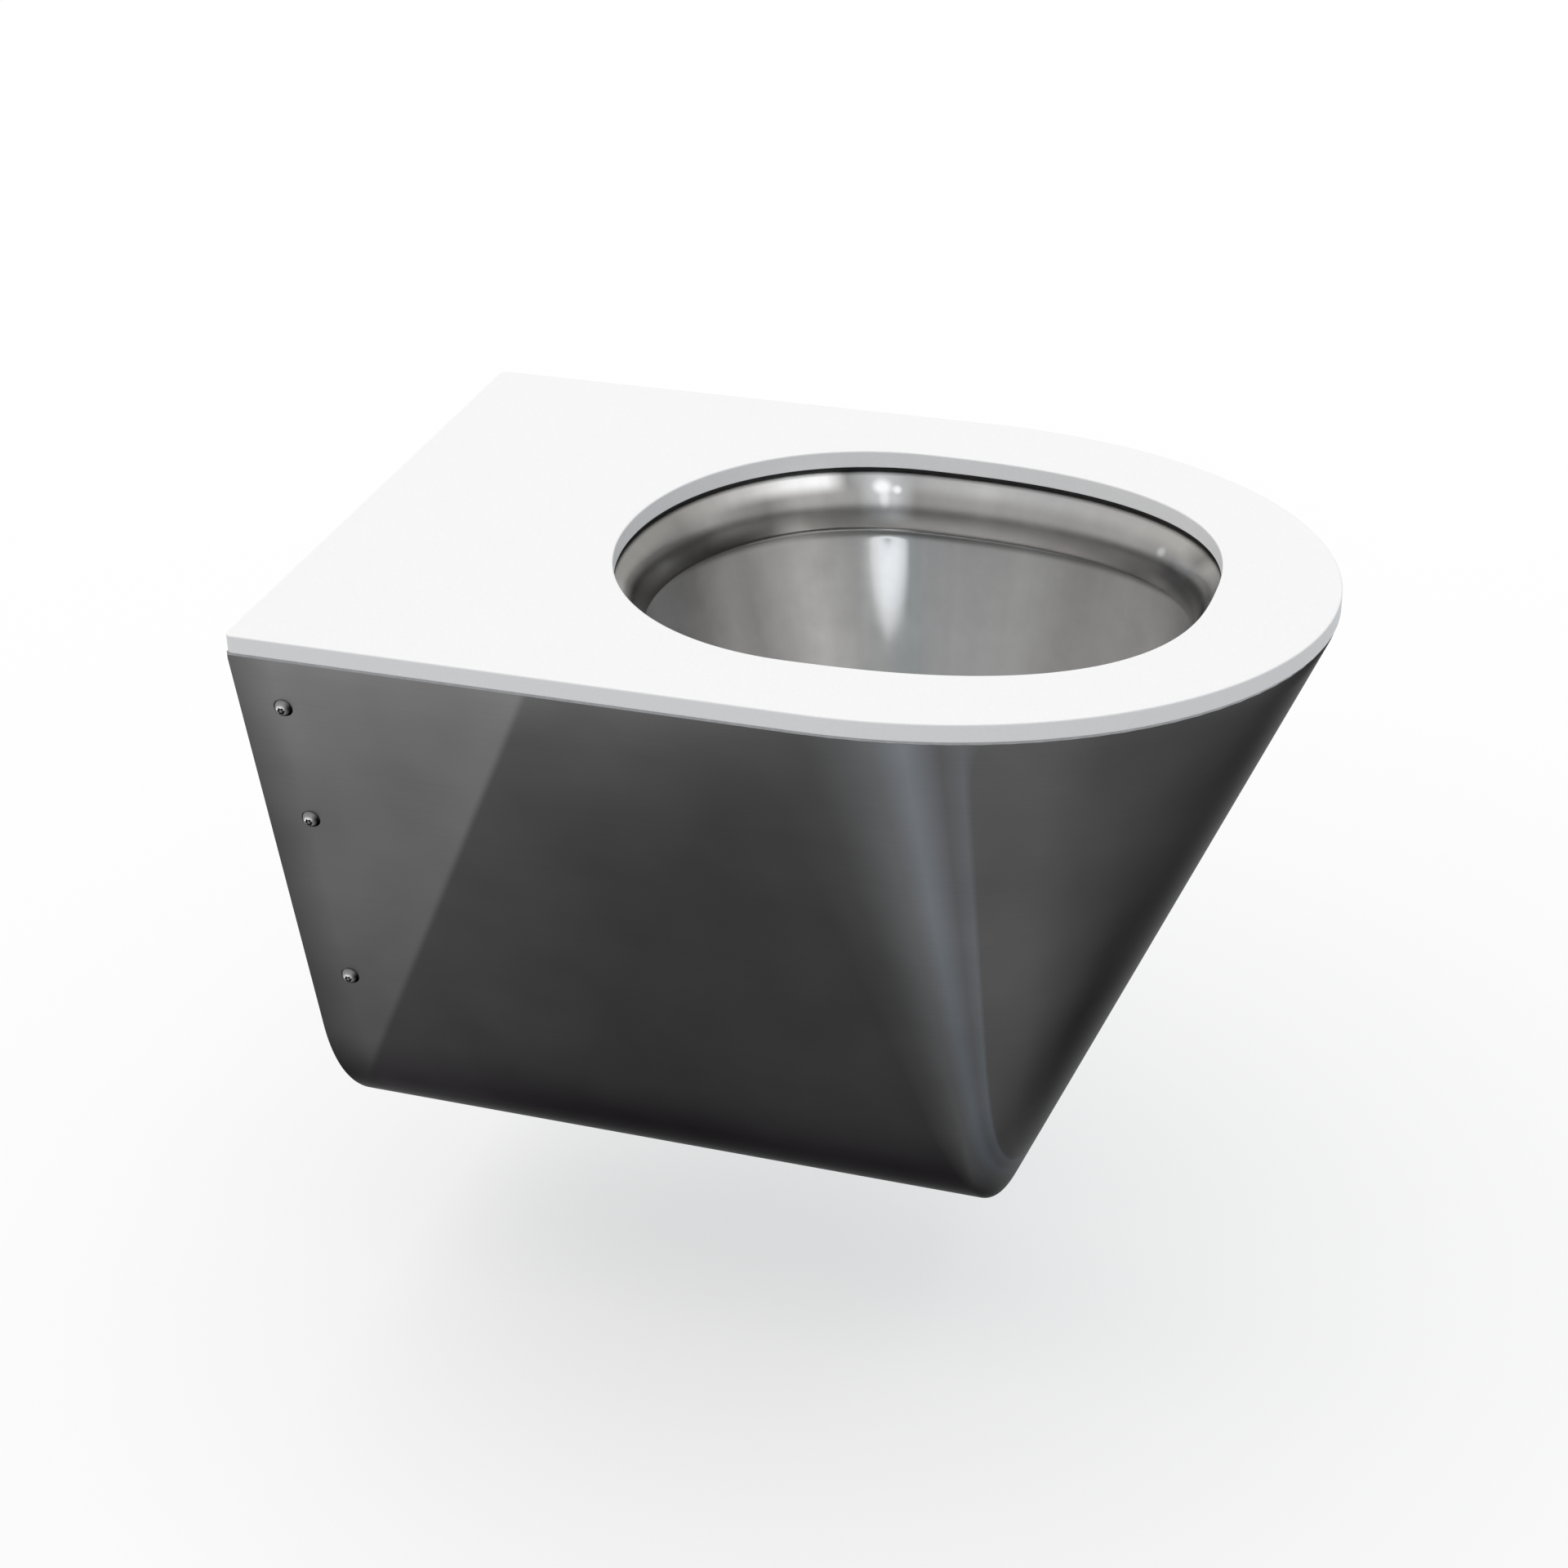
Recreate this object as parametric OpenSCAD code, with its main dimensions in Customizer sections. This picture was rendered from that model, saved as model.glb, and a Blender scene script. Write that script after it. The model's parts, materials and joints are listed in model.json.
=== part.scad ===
// Wall-hung toilet pan in satin stainless steel, with a fixed white seat slab.
// Millimetres. The wall is the plane y = 0, the pan reaches out along -y, and z is up.
// The origin lies on the wall, midway between the two wall studs.

/* [Overall] */
// Width of the seat slab
body_w = 360; // [340:1:400]
// Reach from the wall to the front of the seat slab
body_d = 530; // [515:1:600]
// Height from the lowest point of the belly to the top of the seat slab
body_h = 373; // [368:1:400]
// Height of the seat top above the wall studs
seat_above_studs = 80; // [76:1:90]

/* [Seat slab] */
// Thickness of the seat slab
seat_t = 10; // [9:0.5:20]
// Length of the rounded front of the slab
front_len = 227; // [200:1:240]
// Radius of the slab's two corners at the wall
seat_corner_r = 4; // [1:0.5:12]

/* [Seat hole] */
// Width of the slab on each side of the hole
hole_side_w = 51; // [48:1:60]
// Width of the slab in front of the hole
hole_front_w = 63; // [60:1:80]
// Distance from the wall to the back of the hole
hole_from_wall = 150; // [145:1:165]
// Length of the hole's back part, up to its widest place
hole_back_len = 131; // [120:1:140]
// Roundness of the back part, where 2 is an ellipse
hole_back_roundness = 2.05; // [2:0.05:2.6]
// Roundness of the front part, where 2 is an ellipse
hole_front_roundness = 2.5; // [2:0.05:2.8]

/* [Shell] */
// Thickness of the shell's sheet
sheet_t = 1.5; // [1:0.1:3]
// How far the shell's top edge stands in from the slab's edge
shell_set_back = 1.5; // [0.5:0.25:6]
// Radius of the round belly
belly_r = 126.5; // [124:0.5:135]
// How far the belly's front edge stands back from the slab's front
belly_set_back = 155; // [120:1:165]
// Rounding of the belly's front edge
belly_edge_r = 6; // [3:0.5:12]
// Straight lip at the top of the shell
lip_h = 2; // [1:0.5:6]

/* [Deck] */
// Thickness of the deck plate under the slab
deck_t = 2; // [1.5:0.25:4]
// Width of the black gasket between slab and rim
gasket_w = 14; // [8:0.5:18]
// How far the gasket stands back from the edge of the hole
gasket_set_back = 1.5; // [0.5:0.25:4]
// Width of the leg of the angles that stiffen the deck
rail_leg = 15; // [8:0.5:18]
// Thickness of those angles
rail_t = 2; // [1:0.25:3]

/* [Flushing rim] */
// Thickness of the rim's sheet
rim_t = 1.5; // [1:0.1:2]
// How far the rim bulges into the hole
rim_bulge = 14; // [6:0.5:16]
// Height of the rim
rim_h = 32; // [26:0.5:34]
// Width of the water channel behind the rim's edge
channel_w = 20; // [16:0.5:22]
// Width of the slot between rim lip and bowl
flush_slot = 2.5; // [1.5:0.25:4]

/* [Bowl] */
// Thickness of the bowl's sheet
bowl_t = 1.5; // [1:0.1:2]
// Width of the flange that joins rim and bowl to the deck
flange_w = 6; // [4:0.5:8]
// Place of the bowl's outlet on the way from the back of the hole to its front
neck_share = 0.505; // [0.49:0.005:0.52]
// Length of the bowl's straight neck
neck_len = 15; // [12:1:20]

/* [Trap] */
// Outer diameter of the trap tube
trap_od = 80; // [76:1:84]
// Wall of the trap tube
trap_t = 2; // [1:0.25:3]
// Radius of the trap's bends, on the middle of the tube
bend_r = 60; // [56:1:64]
// Height of the trap above the inside of the belly
trap_clear = 15.5; // [10:0.5:20]
// Straight cuff at each end of the trap tube
cuff_len = 10; // [6:1:14]

/* [Outlet] */
// Outer diameter of the outlet spigot
outlet_od = 102; // [98:1:112]
// Depth of the outlet's middle below the wall studs
outlet_drop = 100; // [98:1:104]
// Distance from the wall to the end of the spigot
spigot_end = 8; // [3:1:14]
// Length of the cone between trap and spigot
reducer_len = 18; // [12:1:24]

/* [Inlet] */
// Diameter of the flush pipe that the inlet takes
inlet_d = 55; // [50:0.5:55]
// Height of the inlet's middle above the wall studs
inlet_rise = 35; // [30:0.5:36]
// Length of the inlet socket
socket_len = 90; // [70:1:96]
// Wall of the socket
socket_t = 1.5; // [1:0.1:2]
// Length of the seal that grips the flush pipe
seal_len = 30; // [15:1:50]
// Wall of that seal
seal_t = 2.5; // [1.5:0.25:3]

/* [Wall bracket] */
// Thickness of the bracket
bracket_t = 3; // [2:0.25:5]
// Depth of the bracket and its cheeks
bracket_d = 42; // [36:1:60]
// Thickness of the foam pad between bracket and wall
pad_t = 2; // [1:0.5:4]
// Distance between the two wall studs
stud_pitch_w = 180; // [160:1:200]
// Diameter of the holes for the wall studs
stud_hole_d = 13; // [12.5:0.25:14]
// Wall of the plastic bush in each stud hole
bush_t = 2; // [1:0.25:3]

/* [Side screws] */
// Distance from the wall to the side screws
screw_from_wall = 25; // [20:1:30]
// Heights of the side screws, as shares of the pan's height, down from the top
screw_drop_shares = [0.112, 0.311, 0.614];
// Thread diameter of the side screws
screw_d = 6; // [5:0.5:8]
// Length of a side screw below its head
screw_len = 16; // [14:1:25]
// Head diameter of the side screws
screw_head_d = 10.5; // [9:0.5:14]
// Head height of the side screws
screw_head_h = 3.3; // [2.5:0.1:5]

/* [Hidden] */

$fn = 64;
overrun = 1; // how far a cut runs past what it cuts
fit_gap = 0.2; // clearance between pieces that slide past each other
arc_n = 48; // steps in the slab's rounded front
corner_n = 6; // steps in a small rounding
oval_n = 60; // points round an oval

// Heights of the stack under the slab's top
seat_top = seat_above_studs;
seat_under = seat_top - seat_t;
deck_under = seat_under - deck_t;
flange_under = deck_under - rim_t;
straight_len = body_d - front_len;
belly_len = body_d - belly_set_back;

// Oval of the hole
hole_w = body_w - 2 * hole_side_w;
hole_front_len = body_d - hole_front_w - hole_from_wall - hole_back_len;
hole_mid_y = -hole_from_wall - hole_back_len;
gasket_out = gasket_set_back + gasket_w;
flange_out = channel_w + flange_w;

// Belly and leaning sides
belly_z = seat_top - body_h + belly_r;
side_top_x = body_w / 2 - shell_set_back;
side_rise = deck_under - lip_h - belly_z;
side_lean = acos(belly_r / norm([side_top_x, side_rise])) - atan2(side_rise, side_top_x);
tangent_z = belly_z - belly_r * sin(side_lean);

// Trap line: down from the bowl, level, up and level again to the outlet
bore_r = trap_od / 2 - trap_t;
outlet_z = -outlet_drop;
run_z = belly_z - belly_r + sheet_t + trap_clear + trap_od / 2;
bend_top_z = run_z + bend_r;
joint_z = bend_top_z + cuff_len;
neck_top_z = joint_z + neck_len;
neck_from_wall = hole_from_wall + (hole_back_len + hole_front_len) * neck_share;
trap_rise = outlet_z - run_z;
rise_turn = trap_rise < 2 * bend_r ? acos(1 - trap_rise / (2 * bend_r)) : 90;
riser_len = max(trap_rise - 2 * bend_r, 0);

// What the fixed lengths leave over is shared between level run and spigot
run_len_share = 0.255;
rise_step = bend_r * sin(rise_turn);
spare_len = neck_from_wall - bend_r - 2 * rise_step - cuff_len - reducer_len - spigot_end;
run_len = spare_len * run_len_share;
spigot_len = spare_len - run_len;
run_start_y = -neck_from_wall + bend_r;
run_end_y = run_start_y + run_len;
riser_y = run_end_y + rise_step;
bend_end_y = riser_y + rise_step;
trap_end_y = bend_end_y + cuff_len;

// Place on the inner or outer face of a leaning side
function side_x(z, inset) = (belly_r - inset + (z - belly_z) * sin(side_lean)) / cos(side_lean);
function lerp(a, b, s) = a + (b - a) * s;

// Oval with its widest place at y = mid, and its own length and roundness at each end
function oval(half_w, back, front, mid, back_round, front_round) = [
    for (i = [0:oval_n - 1])
        let (c = cos(360 * i / oval_n), s = sin(360 * i / oval_n),
            round_here = c < 0 ? front_round : back_round, len_here = c < 0 ? front : back)
        [half_w * sign(s) * pow(abs(s), 2 / round_here),
            mid + len_here * sign(c) * pow(abs(c), 2 / round_here)]];

// The hole's oval grown by out, on its way to the round neck as narrow goes from 0 to 1
function bowl_ring(out, narrow) = oval(
    lerp(hole_w / 2, bore_r, narrow) + out,
    lerp(hole_back_len, bore_r, narrow) + out,
    lerp(hole_front_len, bore_r, narrow) + out,
    lerp(hole_mid_y, -neck_from_wall, narrow),
    lerp(hole_back_roundness, 2, narrow),
    lerp(hole_front_roundness, 2, narrow));

// Half width of that ring, and the way out of the sheet at one point of its section
function ring_half(p) = lerp(hole_w / 2, bore_r, p[1]) + p[0];
function sheet_way(section, i) = let (
    a = section[max(i - 1, 0)], b = section[min(i + 1, len(section) - 1)],
    run = [ring_half(b) - ring_half(a), b[2] - a[2]])
    [-run[1], run[0]] / norm(run);

// Pressed sheet whose seen face follows section, a list of [out, narrow, z]
module pressed_sheet(section, t) {
    rows = len(section);
    seen = [for (p = section) [for (q = bowl_ring(p[0], p[1])) [q[0], q[1], p[2]]]];
    back = [for (i = [rows - 1:-1:0])
        let (w = sheet_way(section, i) * t, p = section[i])
        [for (q = bowl_ring(p[0] + w[0], p[1])) [q[0], q[1], p[2] + w[1]]]];
    rings = concat(seen, back);
    points = [for (r = rings) for (q = r) q];
    count = len(rings);
    faces = [for (j = [0:count - 1]) for (i = [0:oval_n - 1])
        let (k = (i + 1) % oval_n, a = j * oval_n, b = ((j + 1) % count) * oval_n)
        each [[a + i, a + k, b + k], [a + i, b + k, b + i]]];
    polyhedron(points = points, faces = faces);
}

// Outline of the slab, inset all round, starting back past the wall
module slab_outline(inset, back, corner_r) {
    half = body_w / 2 - inset;
    corner = corner_r == 0 ? [[half, back]] : [for (i = [0:corner_n]) let (a = 90 * i / corner_n)
        [half - corner_r + corner_r * sin(a), back - corner_r + corner_r * cos(a)]];
    front = [for (i = [0:arc_n]) let (a = 180 * i / arc_n)
        [half * cos(a), -straight_len - (front_len - inset) * sin(a)]];
    mirrored = [for (i = [len(corner) - 1:-1:0]) [-corner[i][0], corner[i][1]]];
    polygon(concat(corner, front, mirrored));
}

// Belly roll along -y with its front edge rounded
module belly_roll(inset, back) {
    r = belly_r - inset;
    reach = belly_len - inset + back;
    turn = belly_edge_r - inset;
    edge = [for (i = [0:corner_n]) let (a = 90 * i / corner_n)
        [r - turn + turn * cos(a), reach - turn + turn * sin(a)]];
    translate([0, back, belly_z]) rotate([90, 0, 0])
        rotate_extrude() polygon(concat([[0, 0], [r, 0]], edge, [[0, reach]]));
}

// Sheet form drawn tight over the slab's outline and the belly roll
module shell_form(inset, back, up) {
    hull() {
        translate([0, 0, deck_under - lip_h])
            linear_extrude(lip_h + up)
                slab_outline(shell_set_back + inset, back, 0);
        belly_roll(inset, back);
    }
}

// Section of the shell at the wall, inset all round and cut level at top
module wall_section(inset, top) {
    r = belly_r - inset;
    turn = 180 - 2 * side_lean;
    belly = [for (i = [0:arc_n]) let (a = -side_lean - turn * i / arc_n)
        [r * cos(a), belly_z + r * sin(a)]];
    polygon(concat([[side_x(top, inset), top]], belly, [[-side_x(top, inset), top]]));
}

// Turns what is drawn in x and z, and pulled out by depth, to stand from y = -from to -from - depth
module along_y(from, depth) {
    translate([0, -from, 0]) rotate([90, 0, 0]) linear_extrude(depth) children();
}

// Puts a child on the outer face of a leaning side, with its z axis pointing out
module on_side(side, drop) {
    z = seat_top - drop;
    translate([side * side_x(z, 0), -screw_from_wall, z])
        rotate([0, side * (90 + side_lean), 0]) children();
}

module each_side_screw() {
    for (side = [-1, 1]) for (share = screw_drop_shares)
        on_side(side, body_h * share) children();
}

// Seat slab and what holds it
seat_fix_d = 6; // thread of the seat screws
seat_fix_len = 12; // their length below the head
seat_head_d = 10;
seat_head_h = 3;
washer_d = 12.5;
washer_t = 1.6;
insert_wall = 1.5;
insert_len = 7;
key_share = 0.6; // width and depth of the key's socket, of thread and head
fix_rear_in = 45; // from the slab's side to the rear screws
fix_rear_from_wall = 60;
fix_mid_in = 32;
fix_mid_from_wall = 170;
fix_tip_in = 21; // from the slab's front to the screw at its tip
fix_clear = 1; // between the rim's flange and the washers
front_fix_share = 0.44; // place of the front screws on the way round the hole
front_fix = bowl_ring(flange_out + fix_clear + washer_d / 2, 0)[round(oval_n * front_fix_share)];
seat_fixings = [
    [body_w / 2 - fix_rear_in, -fix_rear_from_wall],
    [-body_w / 2 + fix_rear_in, -fix_rear_from_wall],
    [body_w / 2 - fix_mid_in, -fix_mid_from_wall],
    [-body_w / 2 + fix_mid_in, -fix_mid_from_wall],
    [front_fix[0], front_fix[1]],
    [-front_fix[0], front_fix[1]],
    [0, -body_d + fix_tip_in]];

module each_seat_fixing(z) {
    for (place = seat_fixings) translate([place[0], place[1], z]) children();
}

module seat_plate() {
    color("white") difference() {
        translate([0, 0, seat_under]) linear_extrude(seat_t) difference() {
            slab_outline(0, 0, seat_corner_r);
            polygon(bowl_ring(0, 0));
        }
        each_seat_fixing(seat_under - overrun)
            cylinder(d = seat_fix_d + 2 * insert_wall + fit_gap, h = insert_len + overrun + fit_gap);
    }
}

module seat_gasket() {
    color("black") translate([0, 0, deck_under]) linear_extrude(deck_t) difference() {
        polygon(bowl_ring(gasket_out, 0));
        polygon(bowl_ring(gasket_set_back, 0));
    }
}

module seat_inserts() {
    color("goldenrod") each_seat_fixing(seat_under) difference() {
        cylinder(d = seat_fix_d + 2 * insert_wall, h = insert_len);
        translate([0, 0, -overrun]) cylinder(d = seat_fix_d + fit_gap / 2, h = insert_len + 2 * overrun);
    }
}

module seat_screws() {
    color("silver") each_seat_fixing(deck_under - washer_t) union() {
        cylinder(d = seat_fix_d, h = min(seat_fix_len, washer_t + deck_t + insert_len - fit_gap));
        translate([0, 0, -seat_head_h]) difference() {
            cylinder(d = seat_head_d, h = seat_head_h);
            translate([0, 0, -overrun])
                cylinder(d = seat_fix_d * key_share, h = overrun + seat_head_h * key_share, $fn = 6);
        }
    }
}

module seat_washers() {
    color("gray") each_seat_fixing(deck_under - washer_t) difference() {
        cylinder(d = washer_d, h = washer_t);
        translate([0, 0, -overrun]) cylinder(d = seat_fix_d + 2 * fit_gap, h = washer_t + 2 * overrun);
    }
}

module deck_plate() {
    color("silver") difference() {
        translate([0, 0, deck_under]) linear_extrude(deck_t) difference() {
            slab_outline(shell_set_back, 0, 0);
            polygon(bowl_ring(gasket_out + fit_gap, 0));
        }
        each_seat_fixing(deck_under - overrun)
            cylinder(d = seat_fix_d + 4 * fit_gap, h = deck_t + 2 * overrun);
    }
}

// Angle under one long edge of the deck, leaning with the side
rail_from_wall = bracket_d + 4 * pad_t;
module deck_rail(side) {
    gap = sheet_t + fit_gap;
    low = deck_under - rail_leg;
    turn = deck_under - rail_t;
    top_x = side_x(deck_under - lip_h, gap);
    color("silver") along_y(rail_from_wall, straight_len - rail_from_wall)
        polygon([for (p = [
            [top_x, deck_under], [top_x, deck_under - lip_h], [side_x(low, gap), low],
            [side_x(low, gap) - rail_t, low], [side_x(turn, gap) - rail_t, turn],
            [top_x - rail_leg, turn], [top_x - rail_leg, deck_under]]) [side * p[0], p[1]]]);
}
module deck_rail_left() { deck_rail(-1); }
module deck_rail_right() { deck_rail(1); }

// Rim: flat flange, quarter round into the hole, then turned back to a lip
rim_roll_share = 0.58; // part of the rim's height above its widest bulge
lip_turn = 55; // how far round the lip turns back
rim_top_n = 6;
rim_low_n = 3;
rim_reach = gasket_set_back + rim_bulge;
rim_section = concat(
    [[flange_out, 0, deck_under]],
    [for (i = [0:rim_top_n]) let (a = 90 * i / rim_top_n)
        [gasket_set_back - rim_reach * sin(a), 0, deck_under - rim_h * rim_roll_share * (1 - cos(a))]],
    [for (i = [1:rim_low_n]) let (a = lip_turn * i / rim_low_n)
        [-rim_bulge + rim_reach * (1 - cos(a)), 0,
            deck_under - rim_h * rim_roll_share - rim_h * (1 - rim_roll_share) * sin(a) / sin(lip_turn)]]);

module flush_rim() {
    color("lightgray") pressed_sheet(rim_section, rim_t);
}

// Bowl: flange, wall of the water channel, then a funnel that narrows to the neck
lip_out = rim_section[len(rim_section) - 1][0];
bowl_shoulder_z = deck_under - rim_h - flush_slot;
channel_drop_shares = [0.12, 0.5, 0.8];
channel_in_shares = [0, 0.1, 0.42];
bowl_drop_shares = [0, 0.13, 0.28, 0.43, 0.57, 0.7, 0.81, 0.9, 0.96, 1];
bowl_narrow_shares = [0, 0.05, 0.13, 0.23, 0.35, 0.49, 0.64, 0.8, 0.93, 1];
bowl_section = concat(
    [[flange_out, 0, flange_under], [channel_w, 0, flange_under]],
    [for (i = [0:len(channel_drop_shares) - 1])
        [lerp(channel_w, lip_out, channel_in_shares[i]), 0,
            lerp(flange_under, bowl_shoulder_z, channel_drop_shares[i])]],
    [for (i = [0:len(bowl_drop_shares) - 1])
        [lerp(lip_out, 0, bowl_narrow_shares[i]), bowl_narrow_shares[i],
            lerp(bowl_shoulder_z, neck_top_z, bowl_drop_shares[i])]],
    [[0, 1, joint_z]]);

// Mouth where the flush water enters the channel at the back of the bowl
mouth_w = 60;
mouth_h = 12;
mouth_z = flange_under - mouth_h;

module bowl() {
    color("darkgray") difference() {
        pressed_sheet(bowl_section, bowl_t);
        translate([-mouth_w / 2, -hole_from_wall, mouth_z - mouth_h / 2])
            cube([mouth_w, channel_w + flange_w, mouth_h]);
    }
}

// Band round the joint of bowl neck and trap
collar_t = 2;
module neck_collar() {
    color("gray") translate([0, -neck_from_wall, bend_top_z]) difference() {
        cylinder(r = trap_od / 2 + fit_gap + collar_t, h = 2 * cuff_len);
        translate([0, 0, -overrun]) cylinder(r = trap_od / 2 + fit_gap, h = 2 * cuff_len + 2 * overrun);
    }
}

module tube_ring() {
    difference() {
        circle(r = trap_od / 2);
        circle(r = bore_r);
    }
}

// Bend of the trap tube in the plane x = 0 round [y, z], upwards from the angle start through turn,
// with a straight lead before it and a straight tail behind it
module elbow(y, z, start, turn, lead, tail) {
    translate([0, y, z]) rotate([0, 0, 90]) rotate([90, 0, 0]) rotate([0, 0, start]) union() {
        rotate_extrude(angle = turn) translate([bend_r, 0]) tube_ring();
        if (lead > 0) translate([bend_r, 0, 0]) rotate([90, 0, 0]) linear_extrude(lead) tube_ring();
        if (tail > 0) rotate([0, 0, turn]) translate([bend_r, 0, 0]) rotate([-90, 0, 0])
            linear_extrude(tail) tube_ring();
    }
}

module trap_inlet_elbow() {
    color("darkgray") elbow(run_start_y, bend_top_z, 180, 90, cuff_len, run_len);
}

module trap_rise_elbow() {
    color("darkgray") elbow(run_end_y, run_z + bend_r, 270, rise_turn, 0, riser_len);
}

module trap_outlet_elbow() {
    color("darkgray") elbow(bend_end_y, outlet_z - bend_r, 90, rise_turn, cuff_len, 0);
}

// Reducer from the trap tube to the spigot, and the spigot itself
module outlet_spigot() {
    spigot_start = spigot_end + spigot_len;
    reducer_end = -trap_end_y;
    color("silver") translate([0, 0, outlet_z]) rotate([90, 0, 0]) rotate_extrude() polygon([
        [outlet_od / 2 - trap_t, spigot_end], [outlet_od / 2, spigot_end],
        [outlet_od / 2, spigot_start], [trap_od / 2, reducer_end],
        [bore_r, reducer_end], [outlet_od / 2 - trap_t, spigot_start]]);
}

// Socket for the flush pipe, its seal, and the duct to the rim channel
inlet_clear = 1; // between socket and bracket
socket_r = inlet_d / 2 + seal_t + fit_gap;
socket_start = pad_t + bracket_t + inlet_clear;
module inlet_socket() {
    color("silver") translate([0, -socket_start, inlet_rise]) rotate([90, 0, 0]) difference() {
        cylinder(r = socket_r + socket_t, h = socket_len);
        translate([0, 0, -overrun]) cylinder(r = socket_r, h = socket_len + 2 * overrun);
    }
}

module inlet_seal() {
    color("black") translate([0, -socket_start, inlet_rise]) rotate([90, 0, 0]) rotate_extrude()
        polygon([[inlet_d / 2, -seal_t / 2], [socket_r + socket_t, -seal_t / 2],
            [socket_r + socket_t, -fit_gap / 2], [socket_r - fit_gap / 2, -fit_gap / 2],
            [socket_r - fit_gap / 2, seal_len], [inlet_d / 2, seal_len]]);
}

module duct_form(inset) {
    wall = socket_t - inset;
    hull() {
        translate([0, -socket_start - socket_len, inlet_rise]) rotate([90, 0, 0])
            cylinder(r = socket_r + wall, h = inset + fit_gap, $fn = 32);
        translate([-mouth_w / 2 - wall, -hole_from_wall, mouth_z - mouth_h / 2 - wall])
            cube([mouth_w + 2 * wall, overrun, mouth_h + wall + rim_t]);
    }
}

module flush_manifold() {
    color("silver") difference() {
        intersection() {
            duct_form(0);
            translate([-body_w / 2, -body_d, -body_h])
                cube([body_w, body_d, body_h + flange_under - bowl_t]);
        }
        duct_form(socket_t);
        translate([0, 0, -body_h]) linear_extrude(2 * body_h)
            polygon(bowl_ring(channel_w + bowl_t + fit_gap, 0));
    }
}

module outer_shell() {
    color("dimgray") difference() {
        shell_form(0, 0, 0);
        shell_form(sheet_t, overrun, overrun);
        each_side_screw() translate([0, 0, -sheet_t - 2 * overrun])
            cylinder(d = screw_d + 3 * fit_gap, h = sheet_t + 4 * overrun);
    }
}

// Damping pads stuck to the flat inside of each side
damping_t = 3;
damping_size = [150, 160]; // along the wall's normal, and up the side
damping_from_wall = 110;
damping_drop = 60;
module damping_pad(side) {
    z = seat_top - damping_drop;
    color("dimgray") translate([side * side_x(z, sheet_t + fit_gap / 2), -damping_from_wall, z])
        rotate([0, side * side_lean, 0])
            translate([side > 0 ? -damping_t : 0, -damping_size[0], -damping_size[1]])
                cube([damping_t, damping_size[0], damping_size[1]]);
}
module damping_pad_left() { damping_pad(-1); }
module damping_pad_right() { damping_pad(1); }

// Cradle between the belly and the trap's level run
saddle_t = 6;
saddle_pad_t = 2;
saddle_hole_d = 10;
saddle_hole_share = 0.5; // place of its holes between trap and belly
saddle_from = -run_start_y - (run_len + saddle_t) / 2;
module trap_saddle() {
    pad_r = trap_od / 2 + saddle_pad_t;
    hole_x = lerp(pad_r, belly_r, saddle_hole_share) * cos(side_lean);
    color("gray") along_y(saddle_from, saddle_t) difference() {
        translate([0, belly_z]) circle(r = belly_r - sheet_t - fit_gap);
        translate([-body_w, run_z]) square([2 * body_w, body_h]);
        translate([0, run_z]) circle(r = pad_r + fit_gap);
        for (side = [-1, 1])
            translate([side * hole_x, run_z - saddle_hole_d]) circle(d = saddle_hole_d);
    }
}

module saddle_pad() {
    color("black") along_y(saddle_from, saddle_t) difference() {
        translate([0, run_z]) circle(r = trap_od / 2 + saddle_pad_t);
        translate([0, run_z]) circle(r = trap_od / 2 + fit_gap / 2);
        translate([-body_w, run_z]) square([2 * body_w, body_h]);
    }
}

// Bracket: back plate inside the shell with a leaning cheek welded on at each side
bracket_in = sheet_t + fit_gap;
bracket_top = deck_under - rail_t;
inlet_window_r = socket_r + socket_t + inlet_clear;
outlet_clear = 14; // room round the spigot for the drain's socket
window_r = outlet_od / 2 + outlet_clear;
bush_r = stud_hole_d / 2 + bush_t;

module wall_windows(depth) {
    translate([0, 0, inlet_rise]) rotate([90, 0, 0]) cylinder(r = inlet_window_r, h = depth);
    translate([-inlet_window_r, -depth, inlet_rise]) cube([2 * inlet_window_r, depth, body_h]);
    translate([0, 0, outlet_z]) rotate([90, 0, 0]) cylinder(r = window_r, h = depth);
    for (side = [-1, 1]) translate([side * stud_pitch_w / 2, 0, 0]) rotate([90, 0, 0])
        cylinder(r = bush_r + fit_gap / 2, h = depth);
}

module wall_bracket() {
    color("gray") difference() {
        along_y(pad_t, bracket_t) wall_section(bracket_in, bracket_top);
        translate([0, overrun, 0]) wall_windows(pad_t + bracket_t + 2 * overrun);
    }
}

module bracket_cheek(side) {
    low = tangent_z + 2 * bracket_t;
    out = bracket_in + bracket_t;
    color("gray") difference() {
        along_y(pad_t + bracket_t, bracket_d - bracket_t) polygon([for (p = [
            [side_x(bracket_top, bracket_in), bracket_top], [side_x(low, bracket_in), low],
            [side_x(low, out), low], [side_x(bracket_top, out), bracket_top]]) [side * p[0], p[1]]]);
        each_side_screw() translate([0, 0, -out - overrun])
            cylinder(d = screw_d + 5 * fit_gap, h = out + overrun);
    }
}
module bracket_cheek_left() { bracket_cheek(-1); }
module bracket_cheek_right() { bracket_cheek(1); }

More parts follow.
